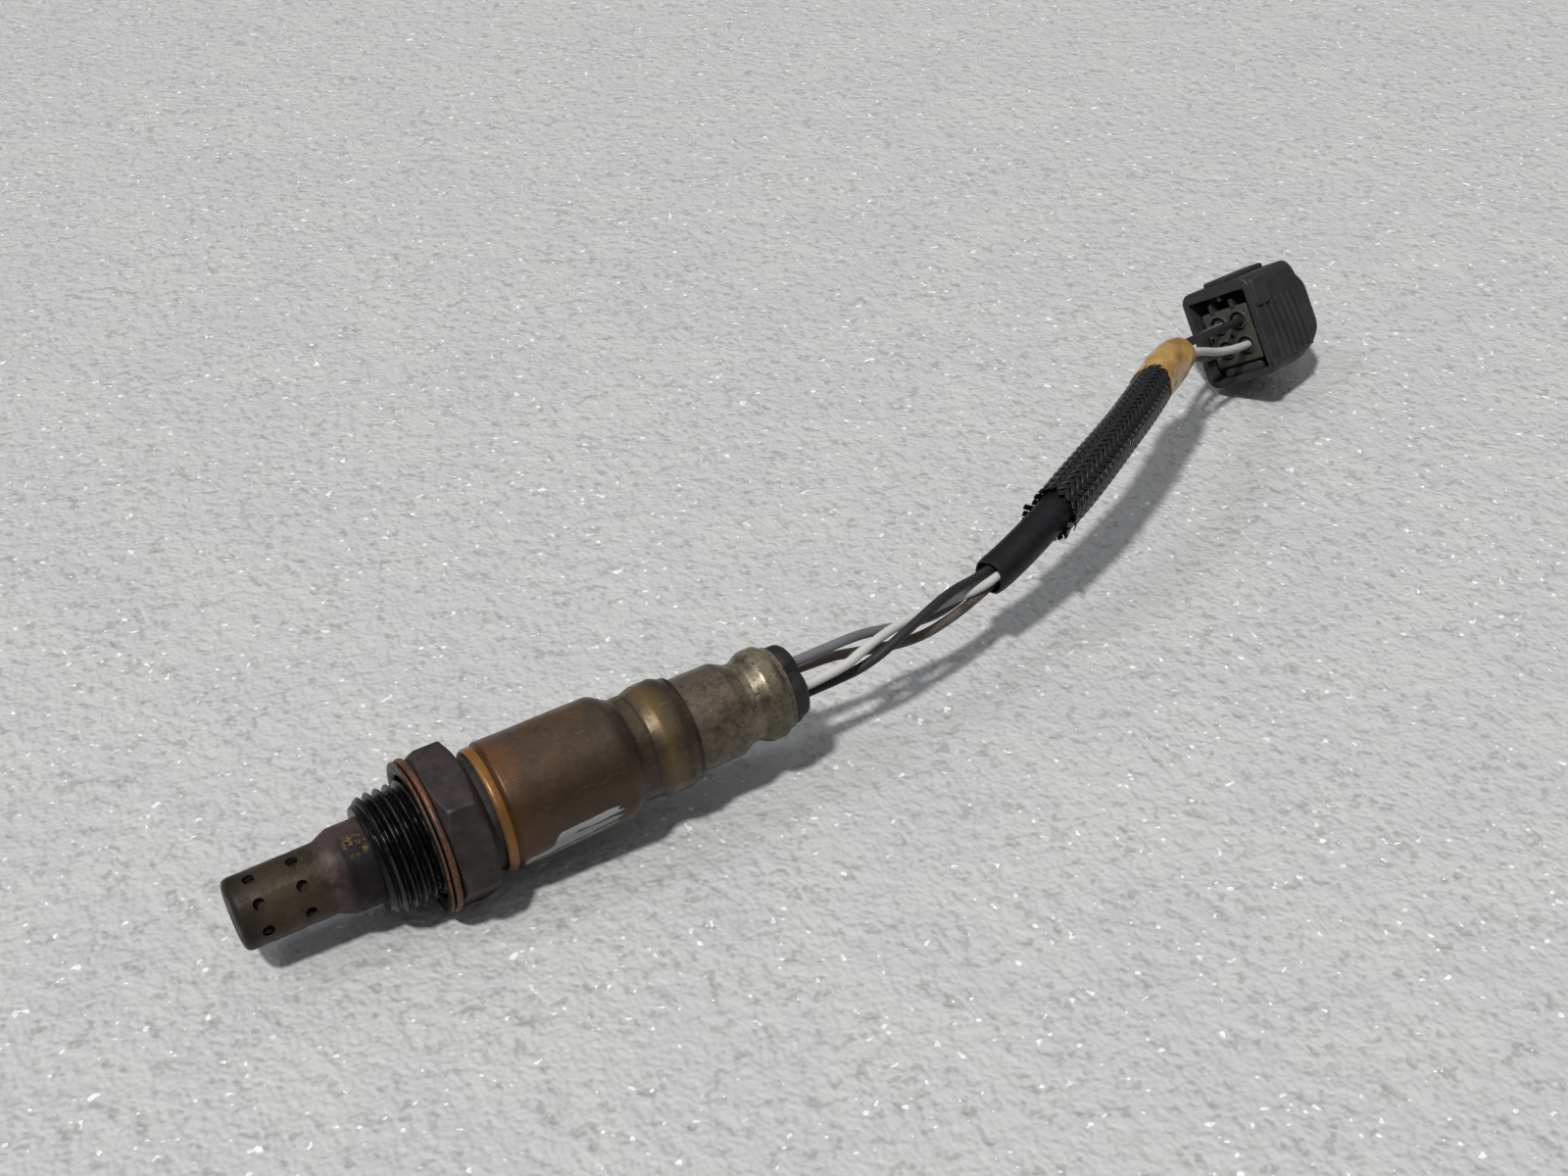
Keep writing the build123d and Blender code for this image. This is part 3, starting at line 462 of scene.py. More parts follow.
@dataclass(frozen=True)
class CasingSteel:
    """Heat-tinted casing: orange bead, bronze body, pale crimp, white-painted strokes; painted
    shade on its underside, in its waist and creases and on the back of the bulge, a painted
    highlight on the bulge's front and a painted reflection line under the strokes.
    """

    name: str = "casing_steel"
    orange: tuple = linear(160, 110, 54)
    amber: tuple = linear(122, 84, 50)
    bronze: tuple = linear(92, 74, 60)
    brown: tuple = linear(84, 72, 61)
    # A golden heat tint, and also a painted highlight on the front of the bulge.
    gold_and_highlight: tuple = linear(116, 96, 64)
    # Grime, and also the colour of the painted shade on the underside and in the creases.
    grime: tuple = linear(42, 36, 30)
    # White of the painted strokes, and also of the painted reflection line under them.
    paint_and_reflection_white: tuple = linear(196, 200, 202)
    paint_from: float = 10.5
    paint_to: float = 25.4

    def _paint_and_reflection_mask(self, s: Sheet, axis: bpy.types.Node) -> bpy.types.NodeSocket:
        """Two brushed strokes low on the near side, with ragged ends and a slit between them, and a
        thin light line under them that is a painted reflection.
        """
        along, turn, place = (axis.outputs[k] for k in ("Along", "Turn", "Place"))
        streak = s.put("ShaderNodeMapping", {0: place, 3: (0.25, 2.4, 2.4)})
        ragged = s.sum("SUBTRACT", s.noise(streak.outputs[0], 1.0, 3.0), 0.5)
        edge = s.sum("MULTIPLY", ragged, 7.0)
        x = s.sum("ADD", along, s.sum("MULTIPLY", ragged, 5.0))
        y = s.sum("ADD", turn, edge)
        top = s.put("ShaderNodeFloatCurve", {1: s.band(along, 10.0, 26.0)})
        curve = top.mapping.curves[0]
        curve.points[0].location = (0.0, 0.42)
        curve.points[-1].location = (1.0, 0.96)
        for place_on, height in ((0.2, 0.5), (0.3, 0.86), (0.42, 0.9), (0.7, 0.93)):
            curve.points.new(place_on, height)
        top.mapping.update()
        upper_edge = s.sum("MULTIPLY_ADD", top.outputs[0], 36.0, -34.0)
        low_edge = s.sum("MULTIPLY_ADD", along, 0.95, -40.0)
        inside = s.sum("MULTIPLY", s.band(s.sum("SUBTRACT", upper_edge, y), 0.0, 0.9),
                       s.band(s.sum("SUBTRACT", y, low_edge), 0.0, 0.9))
        ends = s.sum("MULTIPLY", s.band(x, self.paint_from, self.paint_from + 0.25),
                     s.band(x, self.paint_to, self.paint_to - 0.3))
        slit_line = s.sum("MULTIPLY_ADD", along, 0.2, -14.5)
        slit = s.sum("SUBTRACT", 1.0, s.band(s.sum("ABSOLUTE", s.sum("SUBTRACT", y, slit_line)),
                                             1.5, 0.7))
        slit = s.sum("MAXIMUM", slit, s.band(along, 18.6, 17.8))
        mask = s.sum("MULTIPLY", s.sum("MULTIPLY", inside, ends), slit)
        # A painted reflection: a thin light line under the strokes, running along the casing's
        # underside.
        away = s.sum("ABSOLUTE", s.sum("SUBTRACT", y, s.sum("SUBTRACT", low_edge, 4.6)))
        reflection_line = s.band(away, 1.7, 1.0)
        reflection_ends = s.sum("MULTIPLY", s.band(x, 11.5, 12.0), s.band(x, 25.2, 24.6))
        line = s.sum("MULTIPLY", s.sum("MULTIPLY", reflection_line, reflection_ends), 0.8)
        return s.sum("MAXIMUM", mask, line)

    def build(self, effects: SharedEffects) -> bpy.types.Material:
        """Make the material.

        Args:
            effects: The shared shader groups.

        Returns:
            The finished material.
        """
        d = Dressing(self.name, effects)
        s = d.sheet
        axis = d.use(effects.axis)
        along, turn = axis.outputs["Along"], axis.outputs["Turn"]
        place = d.object_place()
        part = s.put("ShaderNodeMapRange", {0: along, 1: 8.0, 2: 41.0}).outputs[0]
        # The golden stop at about 35.4 mm is heat tint with a painted highlight on the bulge's
        # front; the darker browns after it are painted shade on its back.
        tint = s.ramp(part, [(0.0, self.orange), (0.045, self.orange), (0.062, self.amber),
                             (0.2, self.bronze), (0.56, self.brown), (0.7, linear(78, 71, 62)),
                             (0.83, self.gold_and_highlight), (0.9, linear(76, 64, 52)),
                             (1.0, linear(68, 60, 51))])
        cloud = s.noise(place, 90.0, 4.0, 0.6)
        warm = s.sum("MULTIPLY", s.band(cloud, 0.42, 0.68), s.band(along, 33.0, 28.0, 0.0, 0.5))
        tint = s.blend(warm, tint, self.amber)
        grain = s.band(s.noise(place, 1300.0, 3.0), 0.5, 0.72, 0.0, 0.4)
        tint = s.blend(grain, tint, linear(126, 98, 70))
        tint = s.blend(s.sum("MULTIPLY", d.grime(170.0, 0.4), 0.5), tint, self.grime)
        # Painted shade: the body darkens from its near side round the underside, away from its top.
        span = s.sum("MULTIPLY", s.band(along, 9.6, 10.6, 0.35, 1.0),
                     s.band(along, 33.5, 35.5, 1.0, 0.45))
        below = s.sum("MULTIPLY", s.band(turn, 96.0, 28.0, 0.0, 0.62), span)
        tint = s.blend(below, tint, self.grime)
        # Painted shade in the creases at 30.2, 32.9 and 39.9 mm.
        wobble = s.sum("MULTIPLY", s.sum("SUBTRACT", s.noise(place, 120.0, 2.0), 0.5), 1.2)
        for crease, width, depth in ((30.2, 0.6, 0.55), (32.9, 0.4, 0.6), (39.9, 0.6, 0.8)):
            away = s.sum("ABSOLUTE", s.sum("SUBTRACT", s.sum("ADD", along, wobble), crease))
            tint = s.blend(s.band(away, width, 0.0, 0.0, depth), tint, self.grime)
        # Painted shade in the narrow waist just behind the bead.
        waist = s.sum("MULTIPLY", s.band(along, 9.35, 9.6), s.band(along, 10.6, 10.1))
        tint = s.blend(s.sum("MULTIPLY", waist, 0.7), tint, linear(52, 34, 20))
        scratch = d.use(effects.scratches, {"Turn": (0.3, 0.5, 0.2)}).outputs[0]
        tint = s.blend(s.sum("MULTIPLY", scratch, 0.35), tint, linear(170, 150, 120))
        specks = s.band(s.noise(place, 2300.0, 2.0), 0.7, 0.76)
        tint = s.blend(s.sum("MULTIPLY", specks, 0.6), tint, linear(40, 30, 22))
        # This mask holds the white-painted strokes and the painted reflection line under them.
        painted = self._paint_and_reflection_mask(s, axis)
        tint = s.blend(painted, tint, self.paint_and_reflection_white)
        metal = s.sum("SUBTRACT", 0.5, s.sum("MULTIPLY", painted, 0.5))
        rough = s.band(s.noise(place, 420.0, 4.0), 0.3, 0.7, 0.34, 0.5)
        rough = s.put("ShaderNodeMix", {0: painted, 2: rough, 3: 0.55}).outputs[0]
        d.wire_in(Base_Color=tint, Roughness=rough, Metallic=metal)
        relief = s.sum("ADD", s.sum("MULTIPLY", s.noise(place, 260.0, 3.0), 1.4),
                       s.noise(place, 1700.0, 4.0))
        relief = s.sum("ADD", relief, s.sum("MULTIPLY", painted, 0.8))
        d.bump(relief, 0.3, 0.12)
        return d.material


@dataclass(frozen=True)
class TailSteel:
    """Satin steel of the rear sleeve, muddy, specked towards the lead, with painted shade on its
    underside, from its neck back and in the crease at 52 mm.
    """

    name: str = "tail_steel"
    brown: tuple = linear(120, 108, 94)
    silver: tuple = linear(150, 141, 118)
    speck: tuple = linear(28, 26, 22)
    # Muddy brown, and also the colour of the painted shade in the crease at 52 mm.
    mud_and_shade: tuple = linear(66, 59, 46)

    def build(self, effects: SharedEffects) -> bpy.types.Material:
        """Make the material.

        Args:
            effects: The shared shader groups.

        Returns:
            The finished material.
        """
        d = Dressing(self.name, effects, Metallic=0.6)
        s = d.sheet
        axis = d.use(effects.axis)
        along, turn = axis.outputs["Along"], axis.outputs["Turn"]
        place = d.object_place()
        tint = s.blend(s.band(along, 47.0, 54.0), self.brown, self.silver)
        tint = s.blend(s.sum("MULTIPLY", d.grime(210.0, 0.6), 0.7), tint, self.mud_and_shade)
        # Painted shade: the sleeve darkens from its near side round the underside.
        tint = s.blend(s.sum("MULTIPLY", s.band(turn, 30.0, -25.0), 0.35), tint,
                       linear(52, 48, 40))
        # Painted shade: from the neck back, the sleeve darkens below its top.
        neck_shade = s.sum("MULTIPLY", s.band(turn, 80.0, 45.0), s.band(along, 50.0, 53.0, 0.0, 0.5))
        tint = s.blend(neck_shade, tint, linear(52, 48, 38))
        # Painted shade in the crease at 52 mm.
        waist = s.sum("ABSOLUTE", s.sum("SUBTRACT", along, 52.0))
        tint = s.blend(s.band(waist, 0.9, 0.2, 0.0, 0.5), tint, self.mud_and_shade)
        pits = s.band(s.noise(place, 1500.0, 3.0), 0.62, 0.67)
        rear = s.band(along, 44.0, 55.0, 0.25, 1.0)
        tint = s.blend(s.sum("MULTIPLY", pits, rear), tint, self.speck)
        d.wire_in(Base_Color=tint, Roughness=s.band(s.noise(place, 600.0, 4.0), 0.3, 0.7, 0.3, 0.5))
        d.bump(s.sum("SUBTRACT", s.noise(place, 900.0, 4.0), pits), 0.35, 0.12)
        return d.material


@dataclass(frozen=True)
class Moulded:
    """Rubber or plastic with a little dirt in its hollows and worn edges."""

    name: str
    colour: tuple
    dirt: tuple
    worn: tuple
    dirt_amount: float = 0.4
    dirt_scale: float = 220.0
    roughness: tuple[float, float] = (0.45, 0.65)
    grain: float = 1400.0
    relief: float = 0.05
    gloss: float = 0.35

    def build(self, effects: SharedEffects) -> bpy.types.Material:
        """Make the material.

        Args:
            effects: The shared shader groups.

        Returns:
            The finished material.
        """
        d = Dressing(self.name, effects, Specular_IOR_Level=self.gloss)
        s = d.sheet
        place = d.object_place()
        patches = s.band(s.noise(place, 160.0, 3.0), 0.3, 0.7, 0.0, 0.35)
        tint = s.blend(patches, self.colour, self.worn)
        tint = s.blend(s.sum("MULTIPLY", d.grime(self.dirt_scale, self.dirt_amount), 0.75), tint,
                       self.dirt)
        edge = d.use(effects.worn_edge, {"Amount": 0.0}).outputs[0]
        tint = s.blend(s.sum("MULTIPLY", edge, 0.45), tint, self.worn)
        rough = s.band(s.noise(place, 700.0, 3.0), 0.3, 0.7, *self.roughness)
        d.wire_in(Base_Color=tint, Roughness=rough)
        d.bump(s.noise(place, self.grain, 4.0), 0.3, self.relief)
        return d.material


@dataclass(frozen=True)
class AmberFilm:
    """See-through amber tape, wrinkled, with dirt caught in it."""

    name: str = "amber_film"
    amber: tuple = linear(204, 164, 92)
    deep: tuple = linear(158, 112, 46)
    dirt: tuple = linear(46, 34, 22)

    def build(self, effects: SharedEffects) -> bpy.types.Material:
        """Make the material.

        Args:
            effects: The shared shader groups.

        Returns:
            The finished material.
        """
        d = Dressing(self.name, effects, Roughness=0.32, Transmission_Weight=0.1,
                     Subsurface_Weight=0.2, Subsurface_Radius=(0.002, 0.0012, 0.0005),
                     Coat_Weight=0.25)
        s = d.sheet
        place = d.object_place()
        tint = s.blend(s.band(s.noise(place, 180.0, 4.0), 0.35, 0.65), self.amber, self.deep)
        tint = s.blend(s.sum("MULTIPLY", d.grime(300.0, 0.3), 0.85), tint, self.dirt)
        d.wire_in(Base_Color=tint)
        d.bump(s.noise(place, 420.0, 3.0), 0.4, 0.2)
        return d.material


# ------------------------------------------------------------------ meshes
def soften(points: Sequence[Station], radius: float | Sequence[float],
           steps: int = 4) -> list[Station]:
    """Round the corners of an open outline with small arcs.

    Args:
        points: The outline's corners.
        radius: One radius, or one for each inner corner.
        steps: Straight pieces in each arc.

    Returns:
        The rounded outline's points.
    """
    radii = [radius] * (len(points) - 2) if isinstance(radius, (int, float)) else list(radius)
    out: list[Station] = [points[0]]
    for before, corner, after, size in zip(points, points[1:], points[2:], radii):
        a, b, c = Vector(before), Vector(corner), Vector(after)
        arrive, leave = (b - a), (c - b)
        turn = arrive.angle(leave, 0.0)
        reach = min(size * math.tan(turn / 2), 0.49 * arrive.length, 0.49 * leave.length)
        if turn < 0.01 or reach < 1e-4:
            out.append(tuple(b))
            continue
        start, end = b - arrive.normalized() * reach, b + leave.normalized() * reach
        for step in range(steps + 1):
            part = step / steps
            out.append(tuple((1 - part) ** 2 * start + 2 * part * (1 - part) * b + part ** 2 * end))
    out.append(points[-1])
    return out


def sheet_wall(middle: Sequence[Station], wall: float, radius: float | Sequence[float]) -> tuple[
        list[Station], list[Station]]:
    """Both faces of a bent sheet, as two outlines at half a wall either side of its middle line."""
    line = [Vector(p) for p in soften(middle, radius)]
    outer, inner = [], []
    for index, point in enumerate(line):
        before, after = line[max(index - 1, 0)], line[min(index + 1, len(line) - 1)]
        along = (after - before).normalized()
        side = Vector((-along.y, along.x)) * wall / 2
        outer.append(tuple(point + side))
        inner.append(tuple(point - side))
    return outer, inner


def constant(station: Station) -> Ring:
    """A ring of one radius."""
    return lambda angle: station


def loft(rings: Sequence[Ring], segments: int = 160, loop: bool = True) -> bmesh.types.BMesh:
    """Join rings round the sensor's axis into one skin.

    Args:
        rings: Each gives (s, r) for an angle; a ring of radius zero becomes a pole.
        segments: Faces round the axis.
        loop: Whether the last ring joins the first.

    Returns:
        A new bmesh, in millimetres.
    """
    mesh = bmesh.new()
    rows: list[list[bmesh.types.BMVert]] = []
    for ring in rings:
        s, r = ring(0.0)
        if r < 1e-6:
            rows.append([mesh.verts.new((s, 0, 0))])
            continue
        row = []
        for step in range(segments):
            angle = 2 * math.pi * step / segments
            s, r = ring(angle)
            row.append(mesh.verts.new((s, r * math.cos(angle), r * math.sin(angle))))
        rows.append(row)
    pairs = list(zip(rows, rows[1:])) + ([(rows[-1], rows[0])] if loop else [])
    for first, second in pairs:
        for step in range(segments):
            after = (step + 1) % segments
            corners = [first[step % len(first)], first[after % len(first)],
                       second[after % len(second)], second[step % len(second)]]
            kept = list(dict.fromkeys(corners))
            if len(kept) > 2:
                mesh.faces.new(kept)
    return mesh


def lathe(outline: Sequence[Station], segments: int = 160, loop: bool = True) -> bmesh.types.BMesh:
    """Turn an outline of (s, r) points about the axis."""
    return loft([constant(p) for p in outline], segments, loop)


def sheet_lathe(middle: Sequence[Station], wall: float, radius: float | Sequence[float],
                segments: int = 160) -> bmesh.types.BMesh:
    """Turn a bent sheet about the axis; a middle line that starts on the axis closes there."""
    outer, inner = sheet_wall(middle, wall, radius)
    if middle[0][1] < 1e-6:
        outer[0], inner[0] = (outer[0][0], 0.0), (inner[0][0], 0.0)
        return lathe(outer + inner[::-1], segments, loop=False)
    return lathe(outer + inner[::-1], segments)


def block(low: Point, high: Point) -> bmesh.types.BMesh:
    """A box between two corners, in millimetres."""
    mesh = bmesh.new()
    bmesh.ops.create_cube(mesh, size=1.0)
    for vert in mesh.verts:
        for axis in range(3):
            vert.co[axis] = low[axis] if vert.co[axis] < 0 else high[axis]
    return mesh


def as_object(name: str, mesh: bmesh.types.BMesh, place: Matrix | None = None,
              sharp: float = 35.0) -> bpy.types.Object:
    """Turn a bmesh in millimetres into an object whose place is in its mesh.

    Args:
        name: The piece's name.
        mesh: The shape, freed here.
        place: Where it goes in the row frame, still in millimetres; by default the sensor's axis.
        sharp: Edges that bend more than this many degrees stay sharp.

    Returns:
        The new object, at the origin.
    """
    bmesh.ops.remove_doubles(mesh, verts=mesh.verts, dist=1e-5)
    bmesh.ops.recalc_face_normals(mesh, faces=mesh.faces)
    mesh.transform(Matrix.Scale(MM, 4) @ (TURN_TO_ROW if place is None else place))
    data = bpy.data.meshes.new(name)
    mesh.to_mesh(data)
    mesh.free()
    data.shade_smooth()
    data.set_sharp_from_angle(angle=math.radians(sharp))
    obj = bpy.data.objects.new(name, data)
    bpy.context.scene.collection.objects.link(obj)
    return obj


def settled(obj: bpy.types.Object) -> bpy.types.Object:
    """Turn an object's modifiers into plain mesh and drop them."""
    graph = bpy.context.evaluated_depsgraph_get()
    data = bpy.data.meshes.new_from_object(obj.evaluated_get(graph), depsgraph=graph)
    data.name = obj.name
    if obj.type == "MESH":
        obj.modifiers.clear()
        obj.data = data
        return obj
    name = obj.name
    bpy.data.objects.remove(obj)
    made = bpy.data.objects.new(name, data)
    bpy.context.scene.collection.objects.link(made)
    return made


def cut(obj: bpy.types.Object, tool: bpy.types.Object) -> bpy.types.Object:
    """Take a tool's shape away from an object and remove the tool."""
    step = obj.modifiers.new("cut", "BOOLEAN")
    step.operation, step.solver, step.object = "DIFFERENCE", "EXACT", tool
    settled(obj)
    bpy.data.objects.remove(tool)
    return obj


def resmooth(obj: bpy.types.Object, sharp: float = 35.0) -> None:
    """Shade smooth again after a cut, keeping edges sharper than the angle."""
    obj.data.shade_smooth()
    obj.data.set_sharp_from_angle(angle=math.radians(sharp))


def rounded_edges(obj: bpy.types.Object, width: float, segments: int = 3,
                  angle: float = 30.0) -> bpy.types.Object:
    """Round an object's sharp edges by a width in millimetres."""
    step = obj.modifiers.new("round", "BEVEL")
    step.width, step.segments = width * MM, segments
    step.limit_method, step.angle_limit = "ANGLE", math.radians(angle)
    step.harden_normals = False
    settled(obj)
    resmooth(obj, 50.0)
    return obj


def hand_over(obj: bpy.types.Object, material: bpy.types.Material, slot: str,
              *nodes: str) -> bpy.types.Object:
    """Finish a piece: give it its material and its body, and hide the solids it is drawn over."""
    if obj.data.materials:
        obj.data.materials[0] = material
    else:
        obj.data.materials.append(material)
    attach(obj, "root")
    if nodes:
        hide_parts(*nodes)
    LOG.info("%s: %d faces", obj.name, len(getattr(obj.data, "polygons", [])))
    return obj


# ------------------------------------------------------------------ geometry node trees
def shape_tree(name: str, inputs: Sequence[tuple[str, str, object]],
               fill: Callable[[Sheet, bpy.types.Node], bpy.types.NodeSocket]) -> bpy.types.NodeTree:
    """Make a geometry node tree that ends in Realize Instances and Set Material.

    Args:
        name: The tree's name.
        inputs: Name, socket type and default of each input after the geometry.
        fill: Builds the inside and returns the geometry socket.

    Returns:
        The tree.
    """
    tree = bpy.data.node_groups.new(name, "GeometryNodeTree")
    tree.interface.new_socket("Geometry", in_out="INPUT", socket_type="NodeSocketGeometry")
    for label, kind, default in inputs:
        socket = tree.interface.new_socket(label, in_out="INPUT", socket_type=kind)
        if default is not None:
            socket.default_value = default
    tree.interface.new_socket("Material", in_out="INPUT", socket_type="NodeSocketMaterial")
    tree.interface.new_socket("Geometry", in_out="OUTPUT", socket_type="NodeSocketGeometry")
    sheet = Sheet(tree)
    entry = sheet.put("NodeGroupInput")
    shape = fill(sheet, entry)
    real = sheet.put("GeometryNodeRealizeInstances", {0: shape})
    dressed = sheet.put("GeometryNodeSetMaterial", {"Geometry": real.outputs[0],
                                                    "Material": entry.outputs["Material"]})
    sheet.put("NodeGroupOutput", {0: dressed.outputs[0]})
    return tree


def grow(obj: bpy.types.Object, tree: bpy.types.NodeTree, **values: object) -> bpy.types.Object:
    """Run a geometry node tree on an object and keep the result as plain mesh.

    Args:
        obj: The object the tree works on.
        tree: The tree.
        values: Its inputs, by name with underscores for spaces.

    Returns:
        The object with the result.
    """
    step = obj.modifiers.new(tree.name, "NODES")
    step.node_group = tree
    names = {item.name: item.identifier for item in tree.interface.items_tree
             if item.in_out == "INPUT"}
    for key, value in values.items():
        step[names[key.replace("_", " ")]] = value
    return settled(obj)


def probe_holes_tree() -> bpy.types.NodeTree:
    """Rows of round holes drilled radially through a tube that lies along X."""
    def fill(s: Sheet, entry: bpy.types.Node) -> bpy.types.NodeSocket:
        """Set drills in two circles and take them from the tube."""
        drills = s.put("GeometryNodeJoinGeometry")
        for label in ("First Row", "Second Row"):
            circle = s.put("GeometryNodeMeshCircle", {"Vertices": entry.outputs["Holes"],
                                                      "Radius": entry.outputs["Reach"]})
            upright = s.put("GeometryNodeTransform", {
                "Geometry": circle.outputs[0], "Rotation": (0.0, math.pi / 2, 0.0)})
            offset = s.put("ShaderNodeCombineXYZ", {0: entry.outputs[label]})
            turn = s.put("ShaderNodeCombineXYZ", {0: entry.outputs["Turn"]})
            placed = s.put("GeometryNodeTransform", {
                "Geometry": upright.outputs[0], "Translation": offset.outputs[0],
                "Rotation": turn.outputs[0]})
            position = s.put("GeometryNodeInputPosition").outputs[0]
            where = s.put("ShaderNodeSeparateXYZ", {0: position})
            outward = s.put("ShaderNodeCombineXYZ", {1: where.outputs[1], 2: where.outputs[2]})
            aim = s.put("FunctionNodeAlignRotationToVector", {"Vector": outward.outputs[0]},
                        axis="Z")
            drill = s.put("GeometryNodeMeshCylinder", {
                "Vertices": 28, "Radius": entry.outputs["Hole Radius"],
                "Depth": entry.outputs["Reach"]})
            pins = s.put("GeometryNodeInstanceOnPoints", {
                "Points": placed.outputs[0], "Instance": drill.outputs[0],
                "Rotation": aim.outputs[0]})
            s.tree.links.new(pins.outputs[0], drills.inputs[0])
        solid = s.put("GeometryNodeRealizeInstances", {0: drills.outputs[0]})
        carve = s.put("GeometryNodeMeshBoolean", {0: entry.outputs["Geometry"],
                                                  1: solid.outputs[0]}, operation="DIFFERENCE")
        return carve.outputs[0]

    return shape_tree("probe_holes", [("Holes", "NodeSocketInt", 8),
                                      ("Hole Radius", "NodeSocketFloat", 0.0009),
                                      ("Reach", "NodeSocketFloat", 0.006),
                                      ("First Row", "NodeSocketFloat", -0.026),
                                      ("Second Row", "NodeSocketFloat", -0.02),
                                      ("Turn", "NodeSocketFloat", 0.0)], fill)


def strand_tree() -> bpy.types.NodeTree:
    """Flat strands along every spline of a curve object."""
    def fill(s: Sheet, entry: bpy.types.Node) -> bpy.types.NodeSocket:
        """Sweep an oval along the edges, its width lying on the tube."""
        lines = s.put("GeometryNodeMeshToCurve", {0: entry.outputs["Geometry"]})
        out = s.put("GeometryNodeInputNamedAttribute", {"Name": "outward"},
                    data_type="FLOAT_VECTOR")
        laid = s.put("GeometryNodeSetCurveNormal", {"Curve": lines.outputs[0],
                                                    "Normal": out.outputs[0]}, mode="FREE")
        oval = s.put("GeometryNodeCurvePrimitiveCircle", {"Resolution": 8, "Radius": 1.0},
                     mode="RADIUS")
        size = s.put("ShaderNodeCombineXYZ", {0: entry.outputs["Half Thickness"],
                                              1: entry.outputs["Half Width"], 2: 1.0})
        flat = s.put("GeometryNodeTransform", {"Geometry": oval.outputs[0],
                                               "Scale": size.outputs[0]})
        swept = s.put("GeometryNodeCurveToMesh", {"Curve": laid.outputs[0],
                                                  "Profile Curve": flat.outputs[0],
                                                  "Fill Caps": True})
        smooth = s.put("GeometryNodeSetShadeSmooth", {"Geometry": swept.outputs[0]})
        return smooth.outputs[0]

    return shape_tree("braid_strands", [("Half Width", "NodeSocketFloat", 0.0004),
                                        ("Half Thickness", "NodeSocketFloat", 0.0001)], fill)


def grip_ribs_tree() -> bpy.types.NodeTree:
    """A row of upright ribs, each bowed along its length."""
    def fill(s: Sheet, entry: bpy.types.Node) -> bpy.types.NodeSocket:
        """Repeat one bowed rib along a line."""
        line = s.put("GeometryNodeMeshLine", {"Count": entry.outputs["Count"],
                                              "Start Location": entry.outputs["First"],
                                              "Offset": entry.outputs["Step"]})
        bow = s.put("GeometryNodeCurvePrimitiveBezierSegment", {
            "Resolution": 16, "Start": entry.outputs["Low End"],
            "Start Handle": entry.outputs["Low Bow"], "End Handle": entry.outputs["High Bow"],
            "End": entry.outputs["High End"]}, mode="POSITION")
        section = s.put("GeometryNodeCurvePrimitiveCircle", {
            "Resolution": 10, "Radius": entry.outputs["Rib Radius"]}, mode="RADIUS")
        rib = s.put("GeometryNodeCurveToMesh", {"Curve": bow.outputs[0],
                                                "Profile Curve": section.outputs[0],
                                                "Fill Caps": True})
        row = s.put("GeometryNodeInstanceOnPoints", {"Points": line.outputs[0],
                                                     "Instance": rib.outputs[0]})
        smooth = s.put("GeometryNodeSetShadeSmooth", {"Geometry": row.outputs[0]})
        joined = s.put("GeometryNodeJoinGeometry", {0: smooth.outputs[0]})
        return joined.outputs[0]

    vectors = [(label, "NodeSocketVector", None) for label in
               ("First", "Step", "Low End", "Low Bow", "High Bow", "High End")]
    return shape_tree("grip_ribs", [("Count", "NodeSocketInt", 6),
                                    ("Rib Radius", "NodeSocketFloat", 0.0005)] + vectors, fill)


# ------------------------------------------------------------------ the sensor
@dataclass
class Probe:
    """The holed protection tube."""

    tip: float = -29.4
    diameter: float = 10.7
    root_diameter: float = 12.8
    wall: float = 0.5
    first_row: float = 3.5
    second_row: float = 9.7
    hole: float = 1.75
    holes: int = 8

    def build(self, material: bpy.types.Material) -> bpy.types.Object:
        """Make the tube with its holes and hand it over."""
        r, root = (self.diameter - self.wall) / 2, (self.root_diameter - self.wall) / 2
        end = self.tip + self.wall / 2
        mesh = sheet_lathe([(end, 0), (end, r), (-15.9, r), (-13.5, root), (-4.75, root),
                            (-4.75, 7.4)], self.wall, [0.95, 1.4, 1.6, 0.4], 144)
        obj = as_object("protection_tube", mesh, Matrix.Identity(4))
        grow(obj, probe_holes_tree(), Holes=self.holes, Hole_Radius=self.hole / 2 * MM,
             Reach=6.0 * MM, First_Row=(self.tip + self.first_row) * MM,
             Second_Row=(self.tip + self.second_row) * MM, Turn=math.radians(-45.7),
             Material=material)
        obj.data.transform(in_metres(TURN_TO_ROW))
        resmooth(obj, 35.0)
        return hand_over(obj, material, "tube_steel", "outer_protection_tube")


